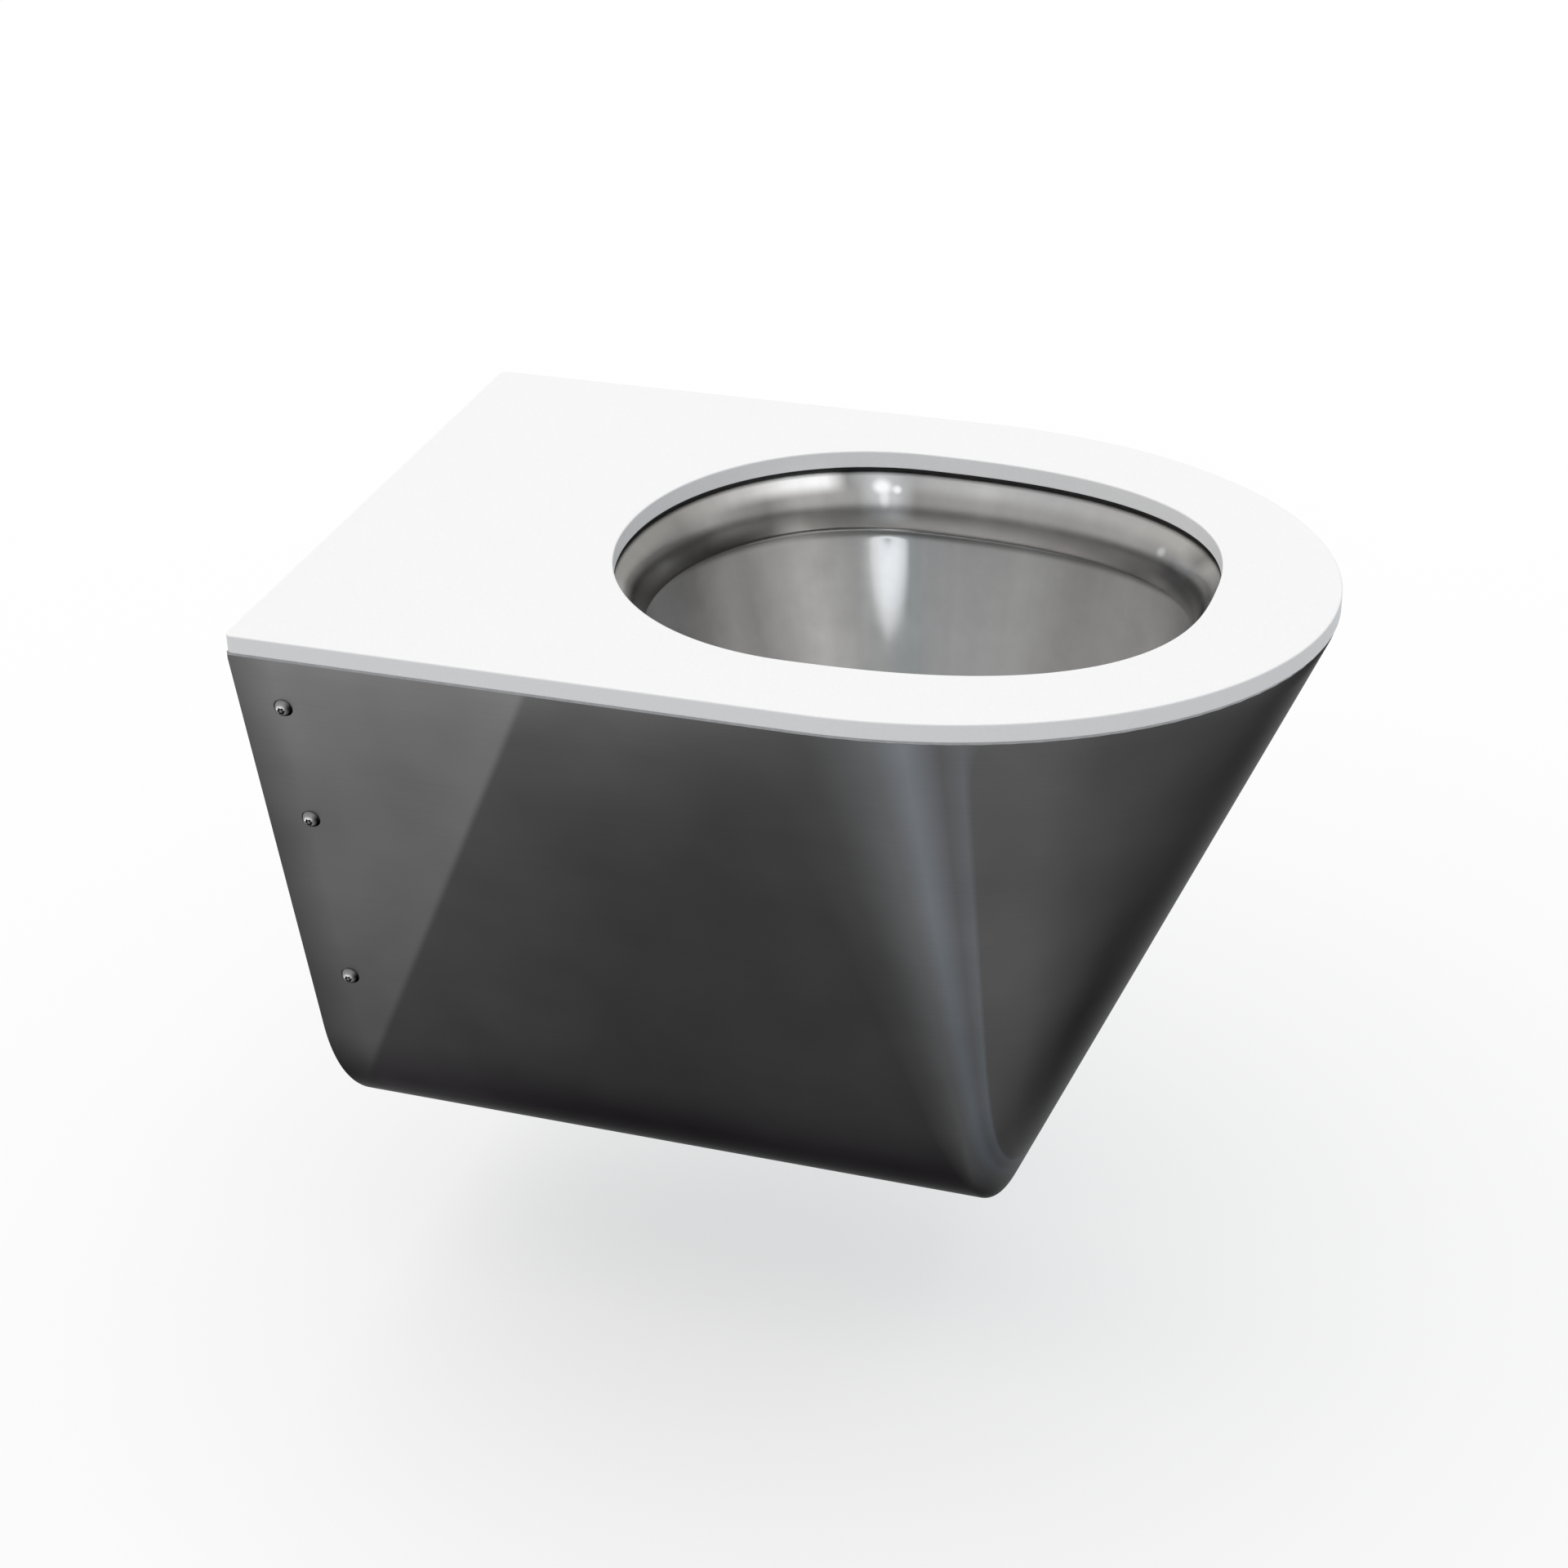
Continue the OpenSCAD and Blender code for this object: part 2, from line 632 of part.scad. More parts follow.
// Hooks under the deck that hang the pan on the bracket's top edge
hanger_d = 28;
hanger_web = 24;
hanger_in = 6 * rail_t;
module hanger_rail(side) {
    inner = inlet_window_r + rail_t;
    outer = side_x(bracket_top - hanger_web, bracket_in + bracket_t) - hanger_in / 4;
    back = pad_t + bracket_t + fit_gap;
    color("silver") translate([side > 0 ? inner : -outer, 0, 0]) union() {
        translate([0, -back - hanger_d, bracket_top])
            cube([outer - inner, back + hanger_d - fit_gap, rail_t]);
        translate([0, -back - rail_t, bracket_top - hanger_web])
            cube([outer - inner, rail_t, hanger_web]);
    }
}
module hanger_rail_left() { hanger_rail(-1); }
module hanger_rail_right() { hanger_rail(1); }

nut_af = 10;
nut_h = 6;
module weld_nuts() {
    color("silver") each_side_screw() translate([0, 0, -bracket_in - bracket_t - nut_h]) difference() {
        cylinder(d = nut_af / cos(30), h = nut_h, $fn = 6);
        translate([0, 0, -overrun]) cylinder(d = screw_d + fit_gap / 2, h = nut_h + 2 * overrun);
    }
}

// Button head with a six-lobed socket round a pin
head_ball_r = (screw_head_d * screw_head_d / 4 + screw_head_h * screw_head_h) / (2 * screw_head_h);
socket_depth_share = 0.55;
lobe_ring_share = 0.17;
lobe_size_share = 0.1;
pin_size_share = 0.09;
module side_screws() {
    color("lightgray") each_side_screw() union() {
        translate([0, 0, -screw_len]) cylinder(d = screw_d, h = screw_len);
        difference() {
            intersection() {
                cylinder(d = screw_head_d, h = screw_head_h);
                translate([0, 0, screw_head_h - head_ball_r]) sphere(r = head_ball_r);
            }
            translate([0, 0, screw_head_h * (1 - socket_depth_share)]) difference() {
                union() {
                    cylinder(r = screw_head_d * lobe_ring_share, h = screw_head_h);
                    for (a = [0:60:300]) rotate(a) translate([screw_head_d * lobe_ring_share, 0, 0])
                        cylinder(r = screw_head_d * lobe_size_share / 2, h = screw_head_h);
                }
                translate([0, 0, -overrun]) cylinder(r = screw_head_d * pin_size_share, h = screw_head_h);
            }
        }
    }
}

bush_lip = 4;
module stud_bushes() {
    color("whitesmoke") for (side = [-1, 1]) translate([side * stud_pitch_w / 2, 0, 0])
        rotate([90, 0, 0]) difference() {
            union() {
                cylinder(r = bush_r, h = pad_t + bracket_t + bush_t);
                translate([0, 0, pad_t + bracket_t]) cylinder(r = bush_r + bush_lip, h = bush_t);
            }
            translate([0, 0, -overrun])
                cylinder(d = stud_hole_d, h = pad_t + bracket_t + bush_t + 2 * overrun);
        }
}

module wall_pad() {
    color("dimgray") difference() {
        along_y(0, pad_t) wall_section(bracket_in, bracket_top);
        translate([0, overrun, 0]) wall_windows(pad_t + 2 * overrun);
    }
}

seat_plate();
seat_gasket();
seat_inserts();
seat_screws();
seat_washers();
deck_plate();
deck_rail_left();
deck_rail_right();
flush_rim();
bowl();
neck_collar();
trap_inlet_elbow();
trap_rise_elbow();
trap_outlet_elbow();
outlet_spigot();
inlet_socket();
inlet_seal();
flush_manifold();
outer_shell();
damping_pad_left();
damping_pad_right();
trap_saddle();
saddle_pad();
wall_bracket();
bracket_cheek_left();
bracket_cheek_right();
hanger_rail_left();
hanger_rail_right();
weld_nuts();
side_screws();
stud_bushes();
wall_pad();
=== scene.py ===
import json
import math

import bmesh
import bpy
import numpy as np
from mathutils import Matrix, Vector


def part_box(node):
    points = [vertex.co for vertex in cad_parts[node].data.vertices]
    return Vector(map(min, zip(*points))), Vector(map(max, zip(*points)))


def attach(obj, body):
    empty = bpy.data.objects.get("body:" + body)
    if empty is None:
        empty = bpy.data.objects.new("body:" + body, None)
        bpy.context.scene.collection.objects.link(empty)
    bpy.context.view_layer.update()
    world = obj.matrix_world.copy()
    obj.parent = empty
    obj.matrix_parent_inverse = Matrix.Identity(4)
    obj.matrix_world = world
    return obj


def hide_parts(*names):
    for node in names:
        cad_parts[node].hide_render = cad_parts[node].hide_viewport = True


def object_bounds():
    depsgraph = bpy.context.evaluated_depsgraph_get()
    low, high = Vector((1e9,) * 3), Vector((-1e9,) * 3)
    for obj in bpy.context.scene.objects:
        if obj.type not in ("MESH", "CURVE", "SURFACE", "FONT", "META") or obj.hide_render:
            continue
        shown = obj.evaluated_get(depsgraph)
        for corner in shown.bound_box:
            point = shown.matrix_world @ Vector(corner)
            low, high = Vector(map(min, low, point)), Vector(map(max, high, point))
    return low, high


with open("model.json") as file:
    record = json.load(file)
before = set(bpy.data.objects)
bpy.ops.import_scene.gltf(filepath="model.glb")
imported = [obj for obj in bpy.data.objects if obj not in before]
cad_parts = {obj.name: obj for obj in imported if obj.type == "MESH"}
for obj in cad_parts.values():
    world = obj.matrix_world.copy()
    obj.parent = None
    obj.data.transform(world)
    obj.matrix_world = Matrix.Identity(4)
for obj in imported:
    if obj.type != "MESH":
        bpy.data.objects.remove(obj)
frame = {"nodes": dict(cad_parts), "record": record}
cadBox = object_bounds()
mm = 0.001  # drawings are in millimetres, the scene in metres
seatLow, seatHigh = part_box("seat_plate")
print("frame loaded,", len(frame["nodes"]), "nodes")


def hexColour(code):
    channels = [int(code[i:i + 2], 16) / 255 for i in (1, 3, 5)]
    return tuple(c / 12.92 if c <= 0.04045 else ((c + 0.055) / 1.055) ** 2.4 for c in channels) + (1.0,)


# Sets a node's properties and inputs, and links its inputs
def setNode(tree, node, settings=None, links=None):
    for key, value in (settings or {}).items():
        if key == "stops":  # colour ramp stops, as (place, hex)
            for place, code in value[1:-1]:
                node.color_ramp.elements.new(place)
            for element, (place, code) in zip(node.color_ramp.elements, value):
                element.position = place
                element.color = hexColour(code)
        elif isinstance(key, str) and hasattr(node, key):
            setattr(node, key, value)
        else:
            node.inputs[key].default_value = value
    for key, socket in (links or {}).items():
        tree.links.new(socket, node.inputs[key])
    return node


def addNode(tree, kind, settings=None, links=None):
    return setNode(tree, tree.nodes.new(kind), settings, links)


def startMaterial(name):
    material = bpy.data.materials.new(name)
    material.use_nodes = True
    tree = material.node_tree
    return material, tree, tree.nodes["Principled BSDF"]


# Most of a noise's values lie between these
noiseLow, noiseHigh = 0.3, 0.7


# Material with an even grain: two tones, the size of the grain along x, y and z and its depth in
# millimetres, how rough and how metallic it is, and how strong its grain is
def evenMaterial(s):
    material, tree, surface = startMaterial(s["name"])
    place = addNode(tree, "ShaderNodeTexCoord").outputs["Object"]
    scale = [1 / (size * mm) for size in s["grain"]]
    stretch = addNode(tree, "ShaderNodeMapping", {"Scale": scale}, {"Vector": place}).outputs[0]
    grain = addNode(tree, "ShaderNodeTexNoise", {"Scale": 1.0, "Detail": s.get("detail", 3.0)},
                    {"Vector": stretch}).outputs[0]
    stops = list(zip((noiseLow, noiseHigh), s["tones"]))
    tone = addNode(tree, "ShaderNodeValToRGB", {"stops": stops}, {"Fac": grain})
    bump = addNode(tree, "ShaderNodeBump", {"Strength": s["bump"], "Distance": s.get("depth", 0.1) * mm},
                   {"Height": grain})
    setNode(tree, surface, {"Roughness": s["roughness"], "Metallic": s["metallic"],
                            "Specular IOR Level": s.get("specular", 0.5)},
            {"Base Color": tone.outputs["Color"], "Normal": bump.outputs[0]})
    return material


# Camera, at the photograph's viewing angle
cameraSet = {
    "place": (-1.41469, -0.72277, 0.78508),
    "looksAt": (0.0, -0.23351, -0.06817),
    "rollDegrees": -1.501,
    "lens": 71.72,
    "sensor": 36.0,
    "clip": (0.05, 60),
}


def makeCamera():
    data = bpy.data.cameras.new("photo_camera")
    data.sensor_width = cameraSet["sensor"]
    data.lens = cameraSet["lens"]
    data.clip_start, data.clip_end = cameraSet["clip"]
    camera = bpy.data.objects.new("photo_camera", data)
    bpy.context.scene.collection.objects.link(camera)
    place = Vector(cameraSet["place"])
    turn = (Vector(cameraSet["looksAt"]) - place).to_track_quat("-Z", "Y").to_matrix().to_4x4()
    roll = Matrix.Rotation(math.radians(cameraSet["rollDegrees"]), 4, "Z")
    camera.matrix_world = Matrix.Translation(place) @ turn @ roll
    bpy.context.scene.camera = camera


# Plain white studio: a pale floor below the pan, soft light from above
studioSet = {
    "seatHeight": 480 * mm,  # an accessible height of the seat above the floor
    "floorSize": 14.0,
    "floorColour": "#ffffff",
    "floorGlow": 0.5,  # share of plain white that the eye and the metal see in the floor
    "floorBounceColour": "#989898",  # what the floor gives back to matt surfaces
    "skyColour": "#d3d8dd",  # light on matt surfaces, a little cool
    "keyStrength": 1.17,
    "keyColour": "#fff3e8",
    "keyAngle": 90,
    "keyLean": (14, -14),  # degrees towards -X and -Y
}


# 1 where the eye, metal or clear material sees the studio, 0 where the studio only lights matt surfaces
def seenDirectly(tree):
    rays = addNode(tree, "ShaderNodeLightPath").outputs
    seen = rays["Is Camera Ray"]
    for name in ("Is Glossy Ray", "Is Transmission Ray"):
        seen = addNode(tree, "ShaderNodeMath", {"operation": "MAXIMUM"}, {0: seen, 1: rays[name]}).outputs[0]
    return seen


def makeSky():
    world = bpy.data.worlds.new("white_studio")
    bpy.context.scene.world = world
    world.use_nodes = True
    tree = world.node_tree
    sky = addNode(tree, "ShaderNodeMix", {
        "data_type": "RGBA", "A": hexColour(studioSet["skyColour"]), "B": hexColour("#ffffff")},
        {"Factor": seenDirectly(tree)})
    tree.links.new(sky.outputs["Result"], tree.nodes["Background"].inputs["Color"])


def makeLamp():
    key = bpy.data.lights.new("overhead_softbox", "SUN")
    key.energy = studioSet["keyStrength"]
    key.color = hexColour(studioSet["keyColour"])[:3]
    key.angle = math.radians(studioSet["keyAngle"])
    lamp = bpy.data.objects.new("overhead_softbox", key)
    left, front = studioSet["keyLean"]
    lamp.rotation_euler = [math.radians(a) for a in (front, -left, 0)]
    lamp.visible_glossy = False
    bpy.context.scene.collection.objects.link(lamp)


# Paper (floor): near white to the eye and to metal, greyer to matt surfaces, with the pan's soft shadow
def floorPaper():
    material, tree, surface = startMaterial("floor_paper")
    matt = addNode(tree, "ShaderNodeLightPath").outputs["Is Diffuse Ray"]
    colour = addNode(tree, "ShaderNodeMix", {
        "data_type": "RGBA", "A": hexColour(studioSet["floorColour"]),
        "B": hexColour(studioSet["floorBounceColour"])}, {"Factor": matt})
    setNode(tree, surface, {"Roughness": 1.0, "Specular IOR Level": 0.0},
            {"Base Color": colour.outputs["Result"]})
    share = addNode(tree, "ShaderNodeMath", {"operation": "MULTIPLY", 1: studioSet["floorGlow"]},
                    {0: seenDirectly(tree)})
    glow = addNode(tree, "ShaderNodeEmission", {"Color": hexColour("#ffffff"), "Strength": 1.0})
    above = addNode(tree, "ShaderNodeMixShader", None,
                    {0: share.outputs[0], 1: surface.outputs[0], 2: glow.outputs[0]})
    # clear from below, so that the pan's underside can be looked at
    under = addNode(tree, "ShaderNodeNewGeometry").outputs["Backfacing"]
    clear = addNode(tree, "ShaderNodeBsdfTransparent")
    both = addNode(tree, "ShaderNodeMixShader", None, {0: under, 1: above.outputs[0], 2: clear.outputs[0]})
    tree.links.new(both.outputs[0], tree.nodes["Material Output"].inputs["Surface"])
    return material


def makeFloor():
    half = studioSet["floorSize"] / 2
    z = seatHigh.z - studioSet["seatHeight"]
    corners = [(-half, -half, z), (half, -half, z), (half, half, z), (-half, half, z)]
    mesh = bpy.data.meshes.new("floor")
    mesh.from_pydata(corners, [], [(0, 1, 2, 3)])
    mesh.materials.append(floorPaper())
    floor = bpy.data.objects.new("floor", mesh)
    bpy.context.scene.collection.objects.link(floor)


makeCamera()
makeSky()
makeLamp()
makeFloor()
bpy.context.scene.view_settings.view_transform = "Standard"
print("camera and studio made")

# Outlines, in millimetres, as the pan is drawn: the slab's D and the egg-shaped hole
panShape = {
    "width": 2 * seatHigh.x / mm,
    "depth": -seatLow.y / mm,
    "top": seatHigh.z / mm,
    "slab": (seatHigh.z - seatLow.z) / mm,
    "height": (cadBox[1].z - cadBox[0].z) / mm,
    "deck": 2,  # plate under the slab
    "frontLength": 227,
    "frontPoints": 361,
    "cornerRadius": 4,
    "cornerPoints": 9,
    "holeSide": 51,
    "holeFront": 63,
    "holeFromWall": 150,
    "holeBack": 131,
    "backRoundness": 2.05,
    "frontRoundness": 2.5,
}
straightLength = panShape["depth"] - panShape["frontLength"]
holeHalf = panShape["width"] / 2 - panShape["holeSide"]
holeFrontLength = panShape["depth"] - panShape["holeFront"] - panShape["holeFromWall"] - panShape["holeBack"]
holeMiddle = -panShape["holeFromWall"] - panShape["holeBack"]
deckUnder = panShape["top"] - panShape["slab"] - panShape["deck"]


def arc(start, end, count):
    return np.radians(np.linspace(start, end, count))


# Oval with its own length and roundness at each end, y growing towards the wall
def oval(half, back, front, middle, backRound, frontRound, count):
    a = np.linspace(0, 2 * math.pi, count, endpoint=False)
    c, s = np.cos(a), np.sin(a)
    power = np.where(c < 0, 2 / frontRound, 2 / backRound)
    length = np.where(c < 0, front, back)
    return np.stack([half * np.sign(s) * np.abs(s) ** power,
                     middle + length * np.sign(c) * np.abs(c) ** power], 1)


# Outline of the hole in the slab, set outwards by out all round
def holeOutline(out, count=480):
    return oval(holeHalf + out, panShape["holeBack"] + out, holeFrontLength + out, holeMiddle,
                panShape["backRoundness"], panShape["frontRoundness"], count)


# Outline of the slab, set in by inset all round
def slabOutline(inset, corner):
    half = panShape["width"] / 2 - inset
    r = corner - inset
    a = arc(90, 0, panShape["cornerPoints"])
    right = np.stack([half - r + r * np.cos(a), -inset - r + r * np.sin(a)], 1)
    a = arc(0, 180, panShape["frontPoints"])
    front = np.stack([half * np.cos(a), -straightLength - (panShape["frontLength"] - inset) * np.sin(a)], 1)
    return np.concatenate([right, front, right[::-1] * (-1, 1)])


# Where rays from a centre at these angles meet a closed outline
def rayPoints(outline, centre, angles):
    least, slack = 1e-12, 1e-7  # for rays that run along an edge, and rays through a corner
    a = outline - centre
    step = np.roll(a, -1, 0) - a
    away = np.stack([np.cos(angles), np.sin(angles)], 1)[:, None]
    cross = away[..., 0] * step[:, 1] - away[..., 1] * step[:, 0]
    cross = np.where(np.abs(cross) < least, least, cross)
    along = (a[:, 0] * step[:, 1] - a[:, 1] * step[:, 0]) / cross
    place = (a[:, 0] * away[..., 1] - a[:, 1] * away[..., 0]) / cross
    good = (along > 0) & (place > -slack) & (place < 1 + slack)
    reach = np.where(good, along, 0).max(1)
    return centre + away[:, 0] * reach[:, None]


# Makes a mesh object from points in millimetres
def makeMesh(name, points, faces):
    mesh = bpy.data.meshes.new(name)
    mesh.from_pydata((np.asarray(points) * mm).tolist(), [], faces)
    mesh.validate()
    piece = bpy.data.objects.new(name, mesh)
    bpy.context.scene.collection.objects.link(piece)
    return piece


# Faces between rows of points that are numbered from start. Closed rows join their end to their start
def rowFaces(rows, count, start=0, closed=True):
    faces = []
    for low in range(start, start + (rows - 1) * count, count):
        high = low + count
        for i in range(count if closed else count - 1):
            n = (i + 1) % count
            faces.append((low + i, low + n, high + n, high + i))
    return faces


# Makes a mesh object from closed rings of points, each ring joined to the next and the last to the first
def loftRings(name, rings):
    rings = np.asarray(rings, float)
    rows, count = rings.shape[:2]
    faces = np.array(rowFaces(rows + 1, count)) % (rows * count)
    return makeMesh(name, rings.reshape(-1, 3), faces.tolist())


# Turns faces outwards, smooths them and keeps edges sharper than the angle
def finishMesh(piece, material, slot, *nodes, sharpDegrees=40):
    mesh = piece.data
    work = bmesh.new()
    work.from_mesh(mesh)
    bmesh.ops.recalc_face_normals(work, faces=work.faces)
    work.to_mesh(mesh)
    work.free()
    mesh.polygons.foreach_set("use_smooth", [True] * len(mesh.polygons))
    mesh.set_sharp_from_angle(angle=math.radians(sharpDegrees))
    mesh.materials.append(material)
    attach(piece, "root")
    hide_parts(*nodes)


# Outer shell: a developable skin from the D-shaped top edge down to the belly roll
shellSet = {
    "sheet": 1.5,
    "setBack": 1.5,
    "bellyRadius": 126.5,
    "bellySetBack": 155,
    "edgeRadius": 6,
    "lip": 2,
    "noseColumns": 240,
    "heightRows": 36,
    "sideColumns": 24,
    "edgeRows": 8,
    "tiltSteps": 50,
    "weld": 0.0005,  # points closer than this become one
}
bellyZ = panShape["top"] - panShape["height"] + shellSet["bellyRadius"]
sideTopX = panShape["width"] / 2 - shellSet["setBack"]
sideRise = deckUnder - shellSet["lip"] - bellyZ
sideReach = math.hypot(sideTopX, sideRise)
sideLean = math.acos(shellSet["bellyRadius"] / sideReach) - math.atan2(sideRise, sideTopX)
bellyLength = panShape["depth"] - shellSet["bellySetBack"]


# One face of the sheet, set in by inset: columns along the front edge from the left side (-90) to the
# right side (90), each with the point on the top edge, the point on the belly's rounded edge, the way
# that the surface faces there, and that way without its part along the pan
def noseRulings(inset):
    half = sideTopX - inset
    front = panShape["frontLength"] - shellSet["setBack"] - inset
    ring = shellSet["bellyRadius"] - shellSet["edgeRadius"]
    edge = shellSet["edgeRadius"] - inset
    endY = -bellyLength + shellSet["edgeRadius"]
    topZ = deckUnder - shellSet["lip"]
    columns = []
    for a in arc(-90, 90, shellSet["noseColumns"] + 1):
        top = np.array([half * math.sin(a), -straightLength - front * math.cos(a), topZ])
        level = np.array([front * math.sin(a), -half * math.cos(a), 0])
        level /= np.linalg.norm(level)
        low, high = 0.0, math.pi / 2
        for step in range(shellSet["tiltSteps"]):  # tilts the plane until it rests on the belly's edge
            tilt = (low + high) / 2
            n = math.cos(tilt) * level + np.array([0, 0, -math.sin(tilt)])
            rests = -n[1] * -endY + n[2] * bellyZ + ring * math.hypot(n[0], n[2]) + edge
            low, high = (tilt, high) if n @ top > rests else (low, tilt)
        out = np.array([n[0], 0, n[2]]) / math.hypot(n[0], n[2])
        foot = np.array([0, endY, bellyZ]) + ring * out + edge * n
        if columns and out[2] > columns[0][3][2]:  # the bend doesn't climb past the flat side's foot
            foot, n, out = [p * (math.copysign(1, -a), 1, 1) for p in columns[0][1:]]
        columns.append((top, foot, n, out))
    return columns, edge


def sheetFace(inset):
    columns, edge = noseRulings(inset)
    points, faces = [], []

    def addGrid(grid):
        faces.extend(rowFaces(len(grid), len(grid[0]), len(points), False))
        points.extend(p for row in grid for p in row)

    heights = np.linspace(0, 1, shellSet["heightRows"] + 1)
    addGrid([[top + (foot - top) * h for top, foot, n, out in columns] for h in heights])
    lip = np.array([0, 0, shellSet["lip"]])
    addGrid([[c[0] + lip * s for c in columns] for s in (1, 0)])
    rim = []
    for s in np.linspace(0, 1, shellSet["edgeRows"] + 1):
        row = []
        for top, foot, n, out in columns:
            a = math.atan2(-n[1], math.hypot(n[0], n[2])) * (1 - s)
            row.append(foot - edge * n + edge * (math.cos(a) * out + np.array([0, -math.sin(a), 0])))
        rim.append(row)
    addGrid(rim)
    steps = np.linspace(0, 1, shellSet["sideColumns"] + 1)
    addGrid([[p * (1, 1 - s, 1) for p in rim[-1]] for s in steps])
    for end in (0, -1):
        top, foot = columns[end][0], rim[-1][end]
        up = [top + (foot - top) * s for s in heights]
        addGrid([[p * (1, 1 - s, 1) for p in up] for s in steps])
        addGrid([[top * (1, 1 - s, 1) + lip * k for s in steps] for k in (1, 0)])
    return points, faces


# Tones of the shell, as they are seen from the front left: painted reflections and painted shade on dark
# steel, with the pale streaks, the lighter rear and the dark belly all painted in
shellTone = {
    # degrees round the nose, 0 in front and 90 at the side; the paler bluish stops are painted reflection
    # streaks
    "noseTop": ((0, "#464646"), (42, "#474747"), (50, "#4b4b4b"), (57, "#575757"), (67.5, "#575757"),
                (69.7, "#636568"), (72.5, "#5b5b5d"), (77, "#777b80"), (81, "#646668"), (90, "#4e4e4e")),
    "noseFoot": ((0, "#303030"), (25, "#343434"), (38, "#3a3a3a"), (45, "#454545"), (55, "#4f4f4f"),
                 (67.5, "#515151"), (69.8, "#5f6367"), (72.5, "#585a5d"), (75.5, "#5d6166"),
                 (80, "#545556"), (90, "#4c4c4c")),
    # heights in millimetres; painted shade, darkest at the belly's bottom edge
    "side": ((-293, "#101010"), (-268, "#141314"), (-258, "#252425"), (-240, "#373537"), (-205, "#373637"),
             (-150, "#3a3a3a"), (-60, "#3d3d3d"), (0, "#3f3f3f"), (40, "#484848"), (68, "#545454")),
    "sideRear": ((-293, "#222222"), (-240, "#454545"), (-200, "#565656"), (-120, "#616162"),
                 (-60, "#666666"), (0, "#6c6c6c"), (68, "#7b7b7b")),
    "foldY": -385,  # front end of the painted pale reflection streaks
    "foldEnd": -300,  # height where the streaks would meet
    "foldBlend": 7,
    "leastRise": 5,  # keeps the pattern in bounds near foldEnd
    "leastWidth": 1,
    "noseFade": (50, 110),  # how far behind foldY the nose's tone gives way to the side's
    "footFade": (-292, -245),  # heights between which the nose's tone comes in
    "noseHeights": (60, -170),  # where noseTop and noseFoot are read
    "rearEdge": (-128.8, -0.478),  # y of the edge of the painted lighter reflection on the rear at z = 0, and its slope
    "rearSpan": 200,  # reach of the pattern on each side of that edge
    "rearGlow": 120,  # painted light: the side gets lighter over this length as it nears that edge
    "rearGlowStrength": 0.45,
    "rearSoftness": 3,
    "wallShade": 24,  # width of the painted shade strip next to the wall
    "wallShadeTone": 0.62,
    "cloudSize": 70,
    "cloudStrength": 0.1,
    "grainLength": 60,
    "grainWidth": 0.9,  # real grinding lines are finer, and drawn this coarse to show
    "grainStrength": 0.025,
    "roughness": 0.36,
    "roughnessSwing": 0.03,
    "edgeTint": "#a4a4a4",  # keeps grazing edges dark
}


# Heights and half widths of the nose where it passes foldY, from the bottom up
def noseAtFold():
    places = []
    for top, foot, n, out in noseRulings(0)[0]:
        share = (shellTone["foldY"] - top[1]) / (foot[1] - top[1])
        if 0 <= share <= 1:
            at = top + (foot - top) * share
            places.append((at[2], abs(at[0])))
    return [list(line) for line in zip(*sorted(places))]


foldHeights, foldWidths = noseAtFold()
noseLength = panShape["frontLength"] - shellSet["setBack"]
toneLow, toneHigh = shellTone["side"][0][0], shellTone["side"][-1][0]


# Height and distance behind the rear's edge, as shares from 0 to 1
def heightShare(z):
    return (z - toneLow) / (toneHigh - toneLow)


def rearShare(distance):
    return 0.5 + distance / (2 * shellTone["rearSpan"])


# Where a point lies in the pattern of tones: its place across the nose in front of the fold and its
# place behind the fold, as shares of the nose's half width and length, then its height from 0 to 1
# and its place across the edge of the lighter rear
def tonePlace(x, y, z):
    s = shellTone
    topZ = deckUnder - shellSet["lip"]
    behind = (y - s["foldY"]) * (topZ - s["foldEnd"]) / max(z - s["foldEnd"], s["leastRise"])
    wide = foldWidths[-1] / max(np.interp(z, foldHeights, foldWidths), s["leastWidth"])
    start, slope = s["rearEdge"]
    bend = (abs(x) * wide / sideTopX, behind / noseLength)
    return bend, (heightShare(z), rearShare(y - start - slope * z))


def makeShell():
    outer, inner = sheetFace(0), sheetFace(shellSet["sheet"])
    shift = len(outer[0])
    faces = outer[1] + [tuple(i + shift for i in face[::-1]) for face in inner[1]]
    piece = makeMesh("shell_skin", outer[0] + inner[0], faces)
    work = bmesh.new()
    work.from_mesh(piece.data)
    bmesh.ops.remove_doubles(work, verts=work.verts, dist=shellSet["weld"] * mm)
    bmesh.ops.recalc_face_normals(work, faces=work.faces)
    bmesh.ops.bridge_loops(work, edges=[e for e in work.edges if e.is_boundary])
    work.to_mesh(piece.data)
    work.free()
    places = [tonePlace(*(v.co / mm)) for v in piece.data.vertices]
    for i, name in enumerate(("bend", "wall")):
        layer = piece.data.uv_layers.new(name=name)
        for loop in piece.data.loops:
            layer.data[loop.index].uv = places[loop.vertex_index][i]
    return piece


def rampStops(tones, low, high):
    return [((place - low) / (high - low), code) for place, code in tones]


